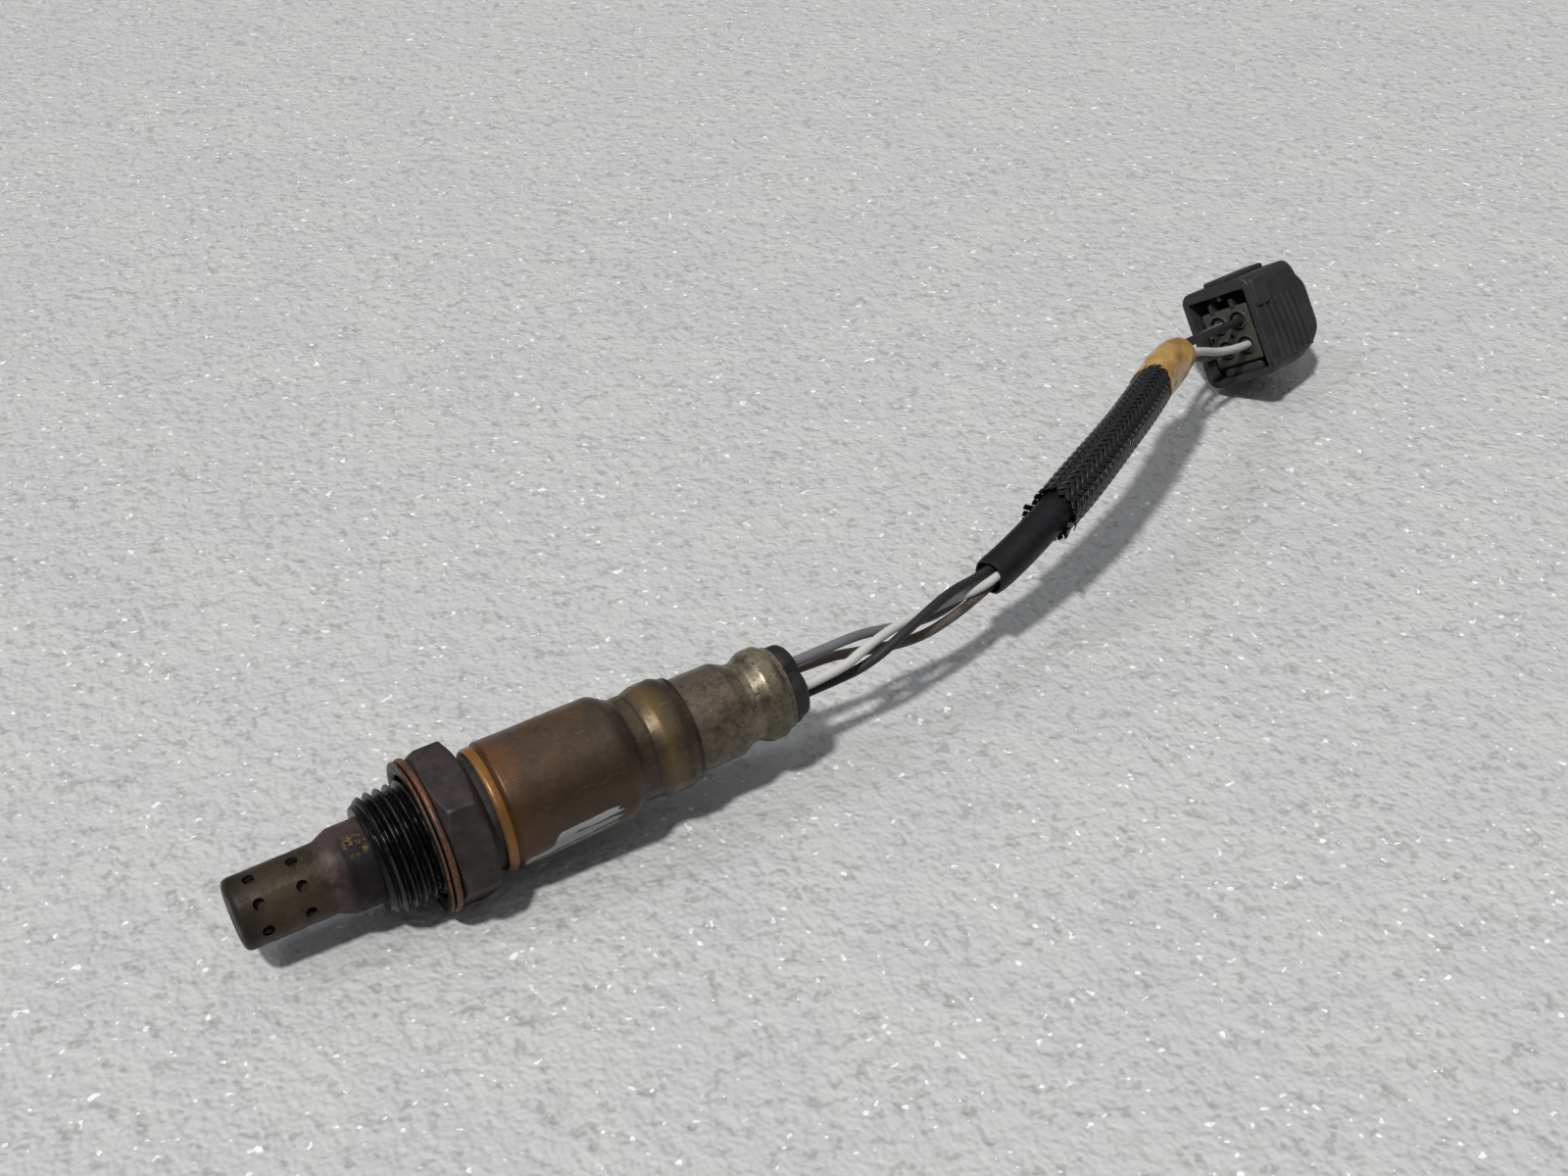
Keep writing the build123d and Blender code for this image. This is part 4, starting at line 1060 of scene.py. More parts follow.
@dataclass
class Shell:
    """The threaded shell with its hexagon and rear collar."""

    front: float = -9.4
    thread_radius: float = 9.0
    depth: float = 0.92
    pitch: float = 1.5
    across_flats: float = 22.0
    corner_radius: float = 12.7
    hex_length: float = 6.2
    lowest_corner: float = 21.5
    bore: float = 6.5

    def _thread(self, s: float) -> Ring:
        """The thread's skin at one place along the axis."""
        envelope = min(self.thread_radius, 7.8 + (s - self.front) * 0.62 + (
            0.1 if s > self.front + 0.4 else 0.0))

        def ring(angle: float) -> Station:
            """Radius of the thread at an angle."""
            phase = (s / self.pitch - angle / (2 * math.pi)) % 1.0
            rise = 1 - abs(2 * phase - 1)
            flank = min(1.0, max(0.0, (rise - 0.12) / 0.76))
            fade = min(1.0, max(0.0, (-0.7 - s) / 0.8))
            wear = 0.03 * math.sin(3 * angle + 9 * s) + 0.02 * math.sin(17 * angle)
            ridge = self.thread_radius - self.depth * (1 - flank * fade) - 0.02 + wear * flank
            return s, min(ridge, envelope - 0.01)

        return ring

    def _hexagon(self, s: float) -> Ring:
        """The hexagon's skin, with its turned chamfers, at one place along the axis."""
        inset = min(s, self.hex_length - s)
        cone = 10.62 + inset * 1.75

        def ring(angle: float) -> Station:
            """Radius at an angle, softened where flat, corner and chamfer meet."""
            turn = (math.degrees(angle) - (270 - self.lowest_corner) + 30 + 360) % 60 - 30
            flat = self.across_flats / 2 / math.cos(math.radians(30 - abs(turn)))
            sizes = (flat, cone, self.corner_radius)
            soft = 0.07
            least = min(sizes)
            blend = sum(math.exp(-(size - least) / soft) for size in sizes)
            return s, least - soft * math.log(blend)

        return ring

    def build(self, material: bpy.types.Material) -> bpy.types.Object:
        """Make the shell as one skin and hand it over."""
        rings: list[Ring] = [constant((self.front, self.bore)), constant((self.front, 7.5))]
        steps = 100
        rings += [self._thread(self.front + 0.02 + (9.3 * n) / steps) for n in range(steps + 1)]
        rings += [constant((-0.05, 8.4)), constant((0.0, 8.8)), constant((0.0, 10.3))]
        levels = [0.0, 0.12, 0.25, 0.4, 0.6, 0.8, 1.0, 1.3, 2.0, 3.1]
        levels += [self.hex_length - level for level in reversed(levels[:-1])]
        rings += [self._hexagon(level) for level in levels]
        rings += [constant(p) for p in ((6.2, 8.75), (6.3, 8.6), (11.2, 8.55), (11.3, 8.45),
                                        (11.3, 6.2), (6.0, 6.2), (-4.0, 6.6))]
        obj = as_object("threaded_shell", loft(rings, 252), sharp=48.0)
        return hand_over(obj, material, "shell_steel", "shell")


@dataclass
class Gasket:
    """The folded crush gasket."""

    outer: float = 11.76
    inner: float = 9.42
    sheet: float = 0.34
    pleat: float = 0.7

    def build(self, material: bpy.types.Material) -> bpy.types.Object:
        """Make the gasket's folds, a little uneven all round, and hand it over."""
        middle: list[Station] = []
        for layer in range(3):
            s = -self.sheet / 2 - 0.03 - layer * self.pleat
            near, far = self.inner + self.sheet, self.outer - self.sheet / 2
            middle += [(s, near), (s, far)] if layer % 2 == 0 else [(s, far), (s, near)]
        outer, inner = sheet_wall(middle, self.sheet, self.pleat * 0.42)

        def uneven(point: Station) -> Ring:
            """A ring that waves a little with the angle."""
            s, r = point

            def ring(angle: float) -> Station:
                """One place on the ring."""
                share = (r - self.inner) / (self.outer - self.inner)
                wave = 0.05 * math.sin(3 * angle + 0.6) + 0.035 * math.sin(7 * angle + 2)
                deep = min(1.0, max(0.0, -s / 1.2 - 0.2))
                return s + wave * share * deep, r + 0.03 * (math.sin(5 * angle + s) - 1)

            return ring

        skin = loft([uneven(p) for p in outer + inner[::-1]], 160)
        obj = as_object("crush_gasket_folds", skin, sharp=60.0)
        return hand_over(obj, material, "gasket_copper", "crush_gasket")


@dataclass
class Casing:
    """The sheet casing with its bead, crimp groove and bulge."""

    wall: float = 0.6

    def build(self, material: bpy.types.Material) -> bpy.types.Object:
        """Make the casing, with faint dents and the crimp's creases, and hand it over."""
        middle = [(8.2, 8.95), (8.5, 9.18), (9.35, 9.2), (9.7, 8.95), (10.3, 9.5), (28.2, 9.5),
                  (30.9, 7.82), (33.4, 7.82), (35.2, 8.38), (38.2, 8.4), (39.5, 7.8),
                  (40.2, 7.78)]
        outer, inner = sheet_wall(middle, self.wall,
                                  [0.3, 0.3, 0.15, 0.45, 2.0, 1.2, 1.0, 1.3, 1.0, 0.3])
        dents = [(17.2, 200.0, 0.09, 1.6), (23.0, 170.0, 0.07, 2.2), (14.5, 130.0, 0.06, 1.4),
                 (21.5, 230.0, 0.07, 1.8), (36.8, 150.0, 0.08, 1.0), (12.6, 95.0, 0.05, 1.2)]
        dents += [(32.2, 60.0 * n + 24.0, 0.16, 0.9) for n in range(6)]

        def pressed(point: Station) -> Ring:
            """A ring with the dents pressed in."""
            s, r = point

            def ring(angle: float) -> Station:
                """One place on the ring."""
                depth = 0.012 * math.sin(2 * angle + s * 0.4)
                for centre, turn, deep, size in dents:
                    away = (math.degrees(angle) - turn + 180) % 360 - 180
                    gap = ((s - centre) / size) ** 2 + (math.radians(away) * r / size) ** 2
                    if gap < 6:
                        depth += deep * math.exp(-gap)
                return s, r - depth

            return ring

        line: list[Station] = []
        for before, after in zip(outer, outer[1:]):
            parts = max(1, int(abs(after[0] - before[0]) / 0.8))
            line += [tuple(Vector(before).lerp(Vector(after), n / parts)) for n in range(parts)]
        line.append(outer[-1])
        obj = as_object("casing_sheet", loft([pressed(p) for p in line + inner[::-1]], 176),
                        sharp=40.0)
        return hand_over(obj, material, "casing_steel", "main_casing")


@dataclass
class Tail:
    """The rear sleeve and the grommet in its mouth."""

    wall: float = 0.5
    wire_circle: float = 3.1
    wire_turns: tuple[float, ...] = (80.0, 170.0, 260.0, -10.0)

    def build_sleeve(self, material: bpy.types.Material) -> bpy.types.Object:
        """Make the rear sleeve with its crimped neck and hand it over."""
        middle = [(22.0, 8.8), (24.2, 8.8), (26.4, 7.2), (47.7, 7.2), (49.9, 6.06), (51.2, 6.06),
                  (53.1, 7.08), (55.2, 7.08), (56.0, 6.35), (56.8, 6.3)]
        mesh = sheet_lathe(middle, self.wall, [0.9, 0.9, 1.3, 0.8, 0.8, 1.1, 0.8, 0.3], 160)
        obj = as_object("tail_sleeve", mesh, sharp=40.0)
        return hand_over(obj, material, "sleeve_steel", "rear_sleeve")

    def build_grommet(self, material: bpy.types.Material) -> bpy.types.Object:
        """Make the rubber grommet, lobed between its wires, and hand it over."""
        def lobed(s: float, r: float, deep: float) -> Ring:
            """A ring pulled in between the wires."""
            def ring(angle: float) -> Station:
                """One place on the ring."""
                hollow = 0.0
                for turn in self.wire_turns:
                    away = (math.degrees(angle) - turn - 45 + 180) % 360 - 180
                    hollow += deep * math.exp(-(away / 13.0) ** 2)
                return s, r - hollow

            return ring

        rings = [constant(p) for p in ((47.4, 0), (47.4, 5.5), (47.6, 5.72), (51.4, 5.72),
                                       (53.2, 6.4), (54.8, 6.4), (55.7, 6.02), (56.86, 6.02))]
        rings += [lobed(s, r, deep) for s, r, deep in ((56.9, 6.3, 0.5), (57.1, 6.42, 0.9),
                                                       (58.4, 6.4, 1.0), (58.9, 6.2, 1.0),
                                                       (59.35, 5.85, 0.9), (59.55, 5.5, 0.8))]
        rings.append(constant((59.55, 0)))
        obj = as_object("grommet_rubber", loft(rings, 144, loop=False), Matrix.Identity(4), 42.0)
        for turn in self.wire_turns:
            y = self.wire_circle * math.cos(math.radians(turn))
            z = self.wire_circle * math.sin(math.radians(turn))
            drill = bmesh.new()
            bmesh.ops.create_cone(drill, cap_ends=True, segments=24, radius1=0.87, radius2=0.87,
                                  depth=16.0)
            drill.transform(Matrix.Translation((53.5, y, z)) @ Matrix.Rotation(math.pi / 2, 4, "Y"))
            cut(obj, as_object("drill", drill, Matrix.Identity(4)))
        obj.data.transform(in_metres(TURN_TO_ROW))
        resmooth(obj, 42.0)
        return hand_over(obj, material, "grommet_rubber", "grommet")


# ------------------------------------------------------------------ the lead
class Insulation(Enum):
    """The four wires' insulation, by the colour in their names."""

    GREY = "grey"
    BROWN = "brown"
    WHITE = "white"
    BLACK = "black"


@dataclass(frozen=True)
class Wire:
    """One wire's control points, in millimetres before the shift to the row's datum."""

    colour: Insulation
    route: tuple[Point, ...]


COVER = ((99.6, 6.4, 3.5), (108.0, 8.5, 5.9), (116.6, 11.6, 8.2), (125.4, 15.5, 10.0),
         (134.3, 20.1, 11.1), (143.2, 25.3, 11.5), (151.8, 31.1, 11.3), (160.0, 37.2, 10.6),
         (167.4, 41.6, 9.3))
WIRES = (
    Wire(Insulation.GREY, (
        (39.25, 0.54, 5.39), (65.3, 0.54, 6.94), (74.0, 3.2, 5.0), (82.0, 4.3, 2.4),
        (90.6, 5.0, 1.5), (99.38, 7.64, 3.18), (107.71, 9.73, 5.57), (116.2, 12.79, 7.87),
        (124.9, 16.65, 9.67), (133.72, 21.21, 10.76), (142.53, 26.36, 11.16),
        (151.06, 32.12, 10.96), (159.27, 38.22, 10.27), (166.72, 42.65, 8.97),
        (182.61, 53.42, 2.45), (194.22, 57.08, 0.74))),
    Wire(Insulation.BROWN, (
        (39.46, 3.05, 1.81), (65.52, 3.05, 3.35), (73.5, 2.2, 2.3), (82.0, 0.6, 2.0),
        (90.8, 2.7, 1.9), (100.01, 6.15, 2.29), (108.41, 8.27, 4.69), (116.97, 11.39, 6.97),
        (125.71, 15.28, 8.76), (134.54, 19.85, 9.85), (143.39, 25.02, 10.24),
        (151.95, 30.79, 10.05), (160.08, 36.85, 9.35), (167.41, 41.21, 8.06),
        (182.91, 50.55, -1.63), (194.53, 54.21, -3.34))),
    Wire(Insulation.WHITE, (
        (39.4, -3.05, 2.88), (65.45, -3.05, 4.43), (73.0, 0.1, 4.8), (81.0, 2.7, 4.8),
        (90.4, 4.7, 3.6), (99.82, 5.16, 3.82), (108.29, 7.27, 6.23), (117.0, 10.41, 8.53),
        (125.9, 14.35, 10.33), (134.88, 18.99, 11.44), (143.87, 24.24, 11.84),
        (152.54, 30.08, 11.64), (160.73, 36.18, 10.93), (168.08, 40.55, 9.63),
        (184.4, 47.04, 0.95), (196.01, 50.7, -0.76))),
    Wire(Insulation.BLACK, (
        (39.61, -0.54, -0.7), (65.67, -0.54, 0.84), (72.6, -1.5, 2.6), (80.4, -0.5, 5.9),
        (90.4, 3.4, 6.8), (99.19, 6.65, 4.71), (107.59, 8.73, 7.11), (116.23, 11.81, 9.43),
        (125.09, 15.72, 11.24), (134.06, 20.35, 12.35), (143.01, 25.58, 12.76),
        (151.65, 31.41, 12.55), (159.92, 37.55, 11.85), (167.39, 41.99, 10.54),
        (184.09, 49.92, 5.03), (195.71, 53.58, 3.32))),
)


def cord_curve(name: str, points: Sequence[Point], bevel: float) -> bpy.types.Object:
    """An open NURBS spline through control points in millimetres.

    Args:
        name: The object's name.
        points: Control points, before the shift to the row's datum.
        bevel: Radius of the round cord, in millimetres; 0 for a bare line.

    Returns:
        The curve object, in metres.
    """
    data = bpy.data.curves.new(name, "CURVE")
    data.dimensions = "3D"
    data.resolution_u = 10
    spline = data.splines.new("NURBS")
    spline.points.add(len(points) - 1)
    for control, point in zip(spline.points, points):
        control.co = ((Vector(point) + DATUM) * MM).to_4d()
    spline.order_u = 3
    spline.use_endpoint_u = True
    data.bevel_depth = bevel * MM
    data.bevel_resolution = 5
    data.use_fill_caps = bevel > 0
    obj = bpy.data.objects.new(name, data)
    bpy.context.scene.collection.objects.link(obj)
    return obj


class Path:
    """A centre line read from a bare curve, with a frame at every distance along it."""

    def __init__(self, points: Sequence[Point]) -> None:
        """Read the line's places and distances, in millimetres."""
        bare = settled(cord_curve("centre_line", points, 0.0))
        self.places = [v.co / MM for v in bare.data.vertices]
        bpy.data.objects.remove(bare)
        self.marks = [0.0]
        for before, after in zip(self.places, self.places[1:]):
            self.marks.append(self.marks[-1] + (after - before).length)

    def nearest(self, point: Point) -> float:
        """Distance along the line of the place nearest to a point."""
        gaps = [(place - Vector(point) - DATUM).length for place in self.places]
        return self.marks[gaps.index(min(gaps))]

    def at(self, distance: float) -> Vector:
        """Place at a distance, carried straight on past either end."""
        marks, places = self.marks, self.places
        index = 0
        while index < len(marks) - 2 and marks[index + 1] < distance:
            index += 1
        share = (distance - marks[index]) / (marks[index + 1] - marks[index])
        return places[index] + (places[index + 1] - places[index]) * share

    def frame(self, distance: float) -> tuple[Vector, Vector, Vector, Vector]:
        """Place, heading, leftward and upward at a distance."""
        heading = (self.at(distance + 1.5) - self.at(distance - 1.5)).normalized()
        left = Vector((0, 0, 1)).cross(heading).normalized()
        return self.at(distance), heading, left, heading.cross(left)

    def out(self, distance: float, turn: float, radius: float) -> tuple[Vector, Vector]:
        """A place at a turn (0 left, a quarter up) and radius round the line, and the way out."""
        place, _, left, up = self.frame(distance)
        outward = left * math.cos(turn) + up * math.sin(turn)
        return place + outward * radius, outward


def along_path(path: Path, rings: Sequence[tuple[float, Callable[[float], tuple[float, float]]]],
               segments: int, loop: bool) -> bmesh.types.BMesh:
    """Join rings round a path into one skin.

    Args:
        path: The centre line.
        rings: A distance and, for an angle, the forward shift and the radius there.
        segments: Faces round the path.
        loop: Whether the last ring joins the first; otherwise both ends are closed.

    Returns:
        A new bmesh in millimetres, in the row frame.
    """
    mesh = bmesh.new()
    rows = []
    for distance, shape in rings:
        row = []
        for step in range(segments):
            angle = 2 * math.pi * step / segments
            shift, radius = shape(angle)
            row.append(mesh.verts.new(path.out(distance + shift, angle, radius)[0]))
        rows.append(row)
    for first, second in list(zip(rows, rows[1:])) + ([(rows[-1], rows[0])] if loop else []):
        for step in range(segments):
            after = (step + 1) % segments
            mesh.faces.new((first[step], first[after], second[after], second[step]))
    if not loop:
        mesh.faces.new(rows[0])
        mesh.faces.new(rows[-1][::-1])
    return mesh


@dataclass
class Lead:
    """The four wires with their sleeve, braid and tape wrap."""

    wire_radius: float = 0.8
    sleeve: tuple[float, float] = (0.0, 0.45)
    braid: tuple[float, float] = (0.25, 0.8)
    wrap: tuple[float, float] = (0.785, 1.0)
    carriers: int = 16
    tape_width: float = 0.98
    tape_half_thickness: float = 0.11
    weave_height: float = 0.16
    lay_length: float = 25.0
    exit_reach: float = 20.3
    seed: int = 7
    path: Path = field(init=False)
    start: float = field(init=False)
    length: float = field(init=False)

    def __post_init__(self) -> None:
        """Lay the covered stretch's centre line."""
        self.path = Path(((90.5, 3.95, 3.45),) + COVER + ((183.5, 50.23, 1.7),))
        self.start = self.path.nearest(COVER[0])
        self.length = self.path.nearest(COVER[-1]) - self.start

    def mark(self, share: float) -> float:
        """Distance along the path of a share of the covered stretch."""
        return self.start + share * self.length

    def build_wires(self, finishes: dict[Insulation, bpy.types.Material],
                    connector: Sequence[object]) -> None:
        """Args:
            finishes: A material for each wire colour.
            connector: The pieces that hang on the lead's end; not used.
        """
        for wire in WIRES:
            colour = wire.colour.value
            obj = cord_curve(f"lead_{colour}", wire.route, self.wire_radius)
            hand_over(obj, finishes[wire.colour], f"insulation_{colour}", f"wire_{colour}")

    def build_sleeve(self, material: bpy.types.Material) -> bpy.types.Object:
        """Make the smooth inner sleeve with its worn mouth."""
        def mouth(angle: float) -> float:
            """How far the mouth is torn back."""
            return 0.5 * math.sin(angle + 0.4) + 0.25 * math.sin(3 * angle + 1.0)

        def ring(radius: float, share: float, torn: float) -> tuple[float, Callable]:
            """One ring, a little oval."""
            return self.mark(share), lambda a: (
                torn * mouth(a), radius * (1 + 0.035 * math.cos(2 * a + 5 * share)))

        steps = [n / 30 for n in range(31)]
        shares = [self.sleeve[0] + (self.sleeve[1] - self.sleeve[0]) * p for p in steps]
        rings = [ring(3.16 - 0.16 * (p == 0), s, 1.0 - min(1.0, p * 6))
                 for p, s in zip(steps, shares)]
        rings += [ring(2.62 + 0.12 * (p == 0), s, 1.0 - min(1.0, p * 6))
                  for p, s in reversed(list(zip(steps, shares)))]
        obj = as_object("sleeving", along_path(self.path, rings, 48, True), Matrix.Identity(4))
        return hand_over(obj, material, "sleeve_rubber", "insulating_sleeve")

    def braid_radius(self, distance: float) -> float:
        """Radius of the braid, which narrows into the wrap."""
        part = (distance - self.mark(self.braid[0])) / (self.mark(self.braid[1])
                                                      - self.mark(self.braid[0]))
        return 3.92 - 0.62 * max(0.0, part) ** 1.4 + 0.08 * math.sin(9 * part)

    def _strand(self, index: int, way: int, dice: random.Random) -> list[tuple[Vector, Vector]]:
        """Places and outward directions of one strand, from its frayed end to the wrap."""
        pitch = 2 * math.pi / self.carriers
        twist = way * 2 * math.pi / self.lay_length
        base = index * pitch
        end = self.mark(self.braid[1])
        line: list[tuple[Vector, Vector]] = []
        turn_first = base + twist * self.mark(self.braid[0])
        hang = max(0.0, -math.sin(turn_first)) * 1.2
        begin = self.mark(self.braid[0]) + 0.9 * math.sin(turn_first) - hang
        begin += dice.uniform(-0.5, 0.5)
        loose = dice.uniform(0.3, 1.5) + (dice.uniform(0.3, 1.5) if hang > 0.7 else 0.0)
        steps = 140
        drift = Vector((dice.uniform(-0.5, 0.5), dice.uniform(-1.0, 0.2), dice.uniform(-0.7, 0.5)))
        for step in range(steps + 1):
            d = begin - loose + (end - begin + loose) * step / steps
            turn = base + twist * d
            crossings = 2 * twist * d / pitch
            over = math.cos(math.pi / 2 * (2 * index + crossings - 0.5))
            lift = self.weave_height * over * way
            gone = max(0.0, begin - d)
            flare = 0.22 * gone ** 1.35
            place, outward = self.path.out(d, turn, self.braid_radius(d) + lift + flare)
            place = place + drift * 0.05 * gone ** 1.5
            line.append((place, outward))
        return line

    def build_braid(self, material: bpy.types.Material) -> bpy.types.Object:
        """Weave the braid from flat strands, two over and two under."""
        dice = random.Random(self.seed)
        mesh = bmesh.new()
        layer = mesh.verts.layers.float_vector.new("outward")
        for way in (1, -1):
            for index in range(self.carriers):
                before = None
                for place, outward in self._strand(index, way, dice):
                    vert = mesh.verts.new(place * MM)
                    vert[layer] = outward
                    if before is not None:
                        mesh.edges.new((before, vert))
                    before = vert
        data = bpy.data.meshes.new("braid")
        mesh.to_mesh(data)
        mesh.free()
        obj = bpy.data.objects.new("braid", data)
        bpy.context.scene.collection.objects.link(obj)
        grow(obj, strand_tree(), Half_Width=self.tape_width / 2 * MM,
             Half_Thickness=self.tape_half_thickness * MM, Material=material)
        return hand_over(obj, material, "braid_fabric", "braided_sleeve")

    def build_wrap(self, material: bpy.types.Material) -> bpy.types.Object:
        """Make the crumpled tape over the braid's end."""
        begin, end = self.mark(self.wrap[0]), self.mark(self.wrap[1])
        length = end - begin

        def crumple(p: float) -> Callable[[float], tuple[float, float]]:
            """Forward shift and radius round the wrap at a share of its length."""
            swell = 3.45 + 0.5 * math.sin(math.pi * min(1.0, p * 1.15)) ** 0.8
            swell -= 1.5 * max(0.0, (p - 0.86) / 0.14) ** 2

            def ring(angle: float) -> tuple[float, float]:
                """One place on the film."""
                fold = 0.2 * abs(math.sin(2.0 * angle + 3.1 * p))
                fold += 0.07 * math.sin(5 * angle - 8 * p)
                fold += 0.03 * math.sin(13 * angle + 17 * p) + 0.04 * math.sin(3 * angle + 19 * p)
                mouth = max(0.0, 0.12 - p) / 0.12
                flap = sum(max(0.0, math.cos(angle - side)) ** 8 for side in (0.15, 2.95))
                lip = -(1.3 * max(0.0, math.cos(angle + 2.4)) ** 4 + 2.6 * flap) * mouth
                return lip, min(4.0, swell + fold - 0.12 + 0.5 * flap * mouth)

            return ring

        outer = [(begin + length * n / 44, crumple(n / 44)) for n in range(45)]
        inner = [(begin + length * n / 8, lambda a: (0.0, 2.25))
                 for n in range(8, -1, -1)]
        obj = as_object("tape_wrap", along_path(self.path, outer + inner, 88, True),
                        Matrix.Identity(4), 28.0)
        return hand_over(obj, material, "wrap_film", "adhesive_wrap")


# ------------------------------------------------------------------ the connector
@dataclass
class Connector:
    """The four-way plug connector in its own frame: x to its mouth, y left, z up."""

    width: float = 16.0
    height: float = 19.6
    length: float = 20.6
    wall: float = 1.4
    corner: float = 2.2
    chin_start: float = 8.5
    cheek: float = 2.6
    brow: float = 3.7
    heading: float = 17.5
    nose_down: float = 8.0
    roll: float = 34.5
    origin: Point = (190.14, 46.4, -6.16)
    pocket: float = 6.5
    mouth: float = 8.5
    insert_middle: float = 9.0
    insert_size: tuple[float, float] = (10.8, 11.2)
    insert_span: tuple[float, float] = (1.2, 11.5)
    cavities: tuple[tuple[float, float], ...] = ((2.3, 2.5), (-2.3, 2.5), (2.3, -2.5), (-2.3, -2.5))
    place: Matrix = field(init=False)

    def __post_init__(self) -> None:
        """Work out where the connector lies."""
        turn, dip, roll = (math.radians(v) for v in (self.heading, self.nose_down, self.roll))
        mating = Vector((math.cos(turn) * math.cos(dip), math.sin(turn) * math.cos(dip),
                         -math.sin(dip)))
        level = Vector((-math.sin(turn), math.cos(turn), 0))
        up = mating.cross(level) * math.cos(roll) + level * math.sin(roll)
        left = up.cross(mating)
        self.place = Matrix.Translation(self.origin) @ Matrix(
            (mating, left, up)).transposed().to_4x4()

    def _span(self, x: float) -> tuple[float, float, float]:
        """Lowest, highest and half width of the housing at a distance from its rear."""
        low = 0.0
        if x > self.chin_start:
            low = 5.6 * (1 - math.sqrt(max(0.0, 1 - ((x - self.chin_start) / 11.15) ** 2))) ** 0.93
        if x > self.length - 1.0:
            low = 5.6 + (x - self.length + 1.0) * 5.3
        steps = ((self.length - self.brow - 0.6, self.height),
                 (self.length - self.brow, self.height - 2.2),
                 (self.length - 1.4, self.height - 4.6), (self.length, 10.9))
        high = self.height
        for (x0, z0), (x1, z1) in zip(steps, steps[1:]):
            if x >= x0:
                high = z0 + (z1 - z0) * min(1.0, (x - x0) / (x1 - x0))
        past = max(0.0, x - (self.length - self.cheek))
        half = self.width / 2 - (self.cheek - math.sqrt(max(0.0, self.cheek ** 2 - past ** 2)))
        return low, max(high, low + 0.6), half

    def _section(self, x: float) -> list[Vector]:
        """The housing's rounded outline at a distance from its rear."""
        low, high, half = self._span(x)
        r = min(self.corner, (high - low) * 0.45)
        inset = 0.22 * max(0.0, 1 - x / 0.25) if x < 0.25 else 0.0
        low, high, half = low + inset, high - inset, half - inset
        ring = []
        for cy, cz, first in ((half - r, high - r, 0), (r - half, high - r, 90),
                              (r - half, low + r, 180), (half - r, low + r, 270)):
            for step in range(9):
                a = math.radians(first + step * 90 / 8)
                ring.append(Vector((x, cy + r * math.cos(a), cz + r * math.sin(a))))
        return ring

    def _cutter(self, low: Point, high: Point) -> bpy.types.Object:
        """A box to cut with, still in the connector's own frame and millimetres."""
        return as_object("cutter", block(low, high), Matrix.Identity(4))

    def build_housing(self, material: bpy.types.Material) -> bpy.types.Object:
        """Make the housing with its pockets, mouth, grip ribs, boss, pegs and foot."""
        mesh = bmesh.new()
        stations = [0.0, 0.1, 0.25, 2.0, 4.0, 6.0, 8.0] + [8.5 + n * 0.5 for n in range(17)]
        stations += [16.6, 16.9, 17.2, 17.6, 18.0, 18.4, 18.8, 19.2, 19.6, 19.9, 20.2, 20.45]
        stations = sorted(set(round(v, 3) for v in stations))
        rows = [[mesh.verts.new(p) for p in self._section(x)] for x in stations]
        for first, second in zip(rows, rows[1:]):
            for n in range(len(first)):
                m = (n + 1) % len(first)
                mesh.faces.new((first[n], second[n], second[m], first[m]))
        mesh.faces.new(rows[0])
        mesh.faces.new(rows[-1][::-1])
        obj = as_object("plug_housing", mesh, Matrix.Identity(4), 40.0)
        half, wall = self.width / 2, self.wall
        w, h = self.insert_size
        cut(obj, self._cutter((-1, wall - half, wall),
                              (self.pocket, half - wall, self.height - 2.1)))
        cut(obj, self._cutter((self.length - self.mouth, wall - half, wall),
                              (self.length + 1, half - wall, self.height - wall)))
        cut(obj, self._cutter((4, -w / 2 - 0.03, self.insert_middle - h / 2 - 0.03),
                              (14, w / 2 + 0.03, self.insert_middle + h / 2 + 0.03)))
        rounded_edges(obj, 0.22, 2, 35.0)
        parts = [self._details()]
        for part in parts:
            bpy.context.view_layer.update()
            self._join(obj, part)
        self._join(obj, self._ribs(material))
        obj.data.transform(in_metres(self.place))
        return hand_over(obj, material, "connector_plastic", "connector_housing")

    @staticmethod
    def _join(obj: bpy.types.Object, part: bpy.types.Object) -> None:
        """Add one object's mesh to another's."""
        mesh = bmesh.new()
        mesh.from_mesh(obj.data)
        mesh.from_mesh(part.data)
        mesh.to_mesh(obj.data)
        mesh.free()
        bpy.data.objects.remove(part)
        obj.data.set_sharp_from_angle(angle=math.radians(45))

    def _details(self) -> bpy.types.Object:
        """Rail, boss, pegs, ledge, bridge, latch step and foot, as rounded blocks."""
        half, high = self.width / 2, self.height
        blocks = [((0.8, -2.5, high - 0.3), (15.5, 2.5, high + 0.95), 0.45),
                  ((0.15, -half - 0.88, high - 6.3), (5.1, 1 - half, high - 0.75), 0.75),
                  ((1.0, 2.2, high - 5.4), (6.5, 3.1, high - 3.4), 0.2),
                  ((1.0, -2.6, high - 5.4), (6.5, -1.7, high - 3.4), 0.2),
                  ((0.6, -0.6, high - 3.3), (6.5, 0.2, high - 2.0), 0.2),
                  ((1.6, -4.2, 1.2), (6.6, 4.6, 3.1), 0.5),
                  ((1.4, -half + 1.0, 8.3), (6.6, -5.2, 9.2), 0.2),
                  ((0.0, -half - 0.38, 0.9), (2.2, -half + 1.2, 2.6), 0.35)]
        whole = None
        for low, top, width in blocks:
            part = as_object("detail", block(low, top), Matrix.Identity(4))
            rounded_edges(part, width, 4, 30.0)
            if whole is None:
                whole = part
            else:
                self._join(whole, part)
        return whole

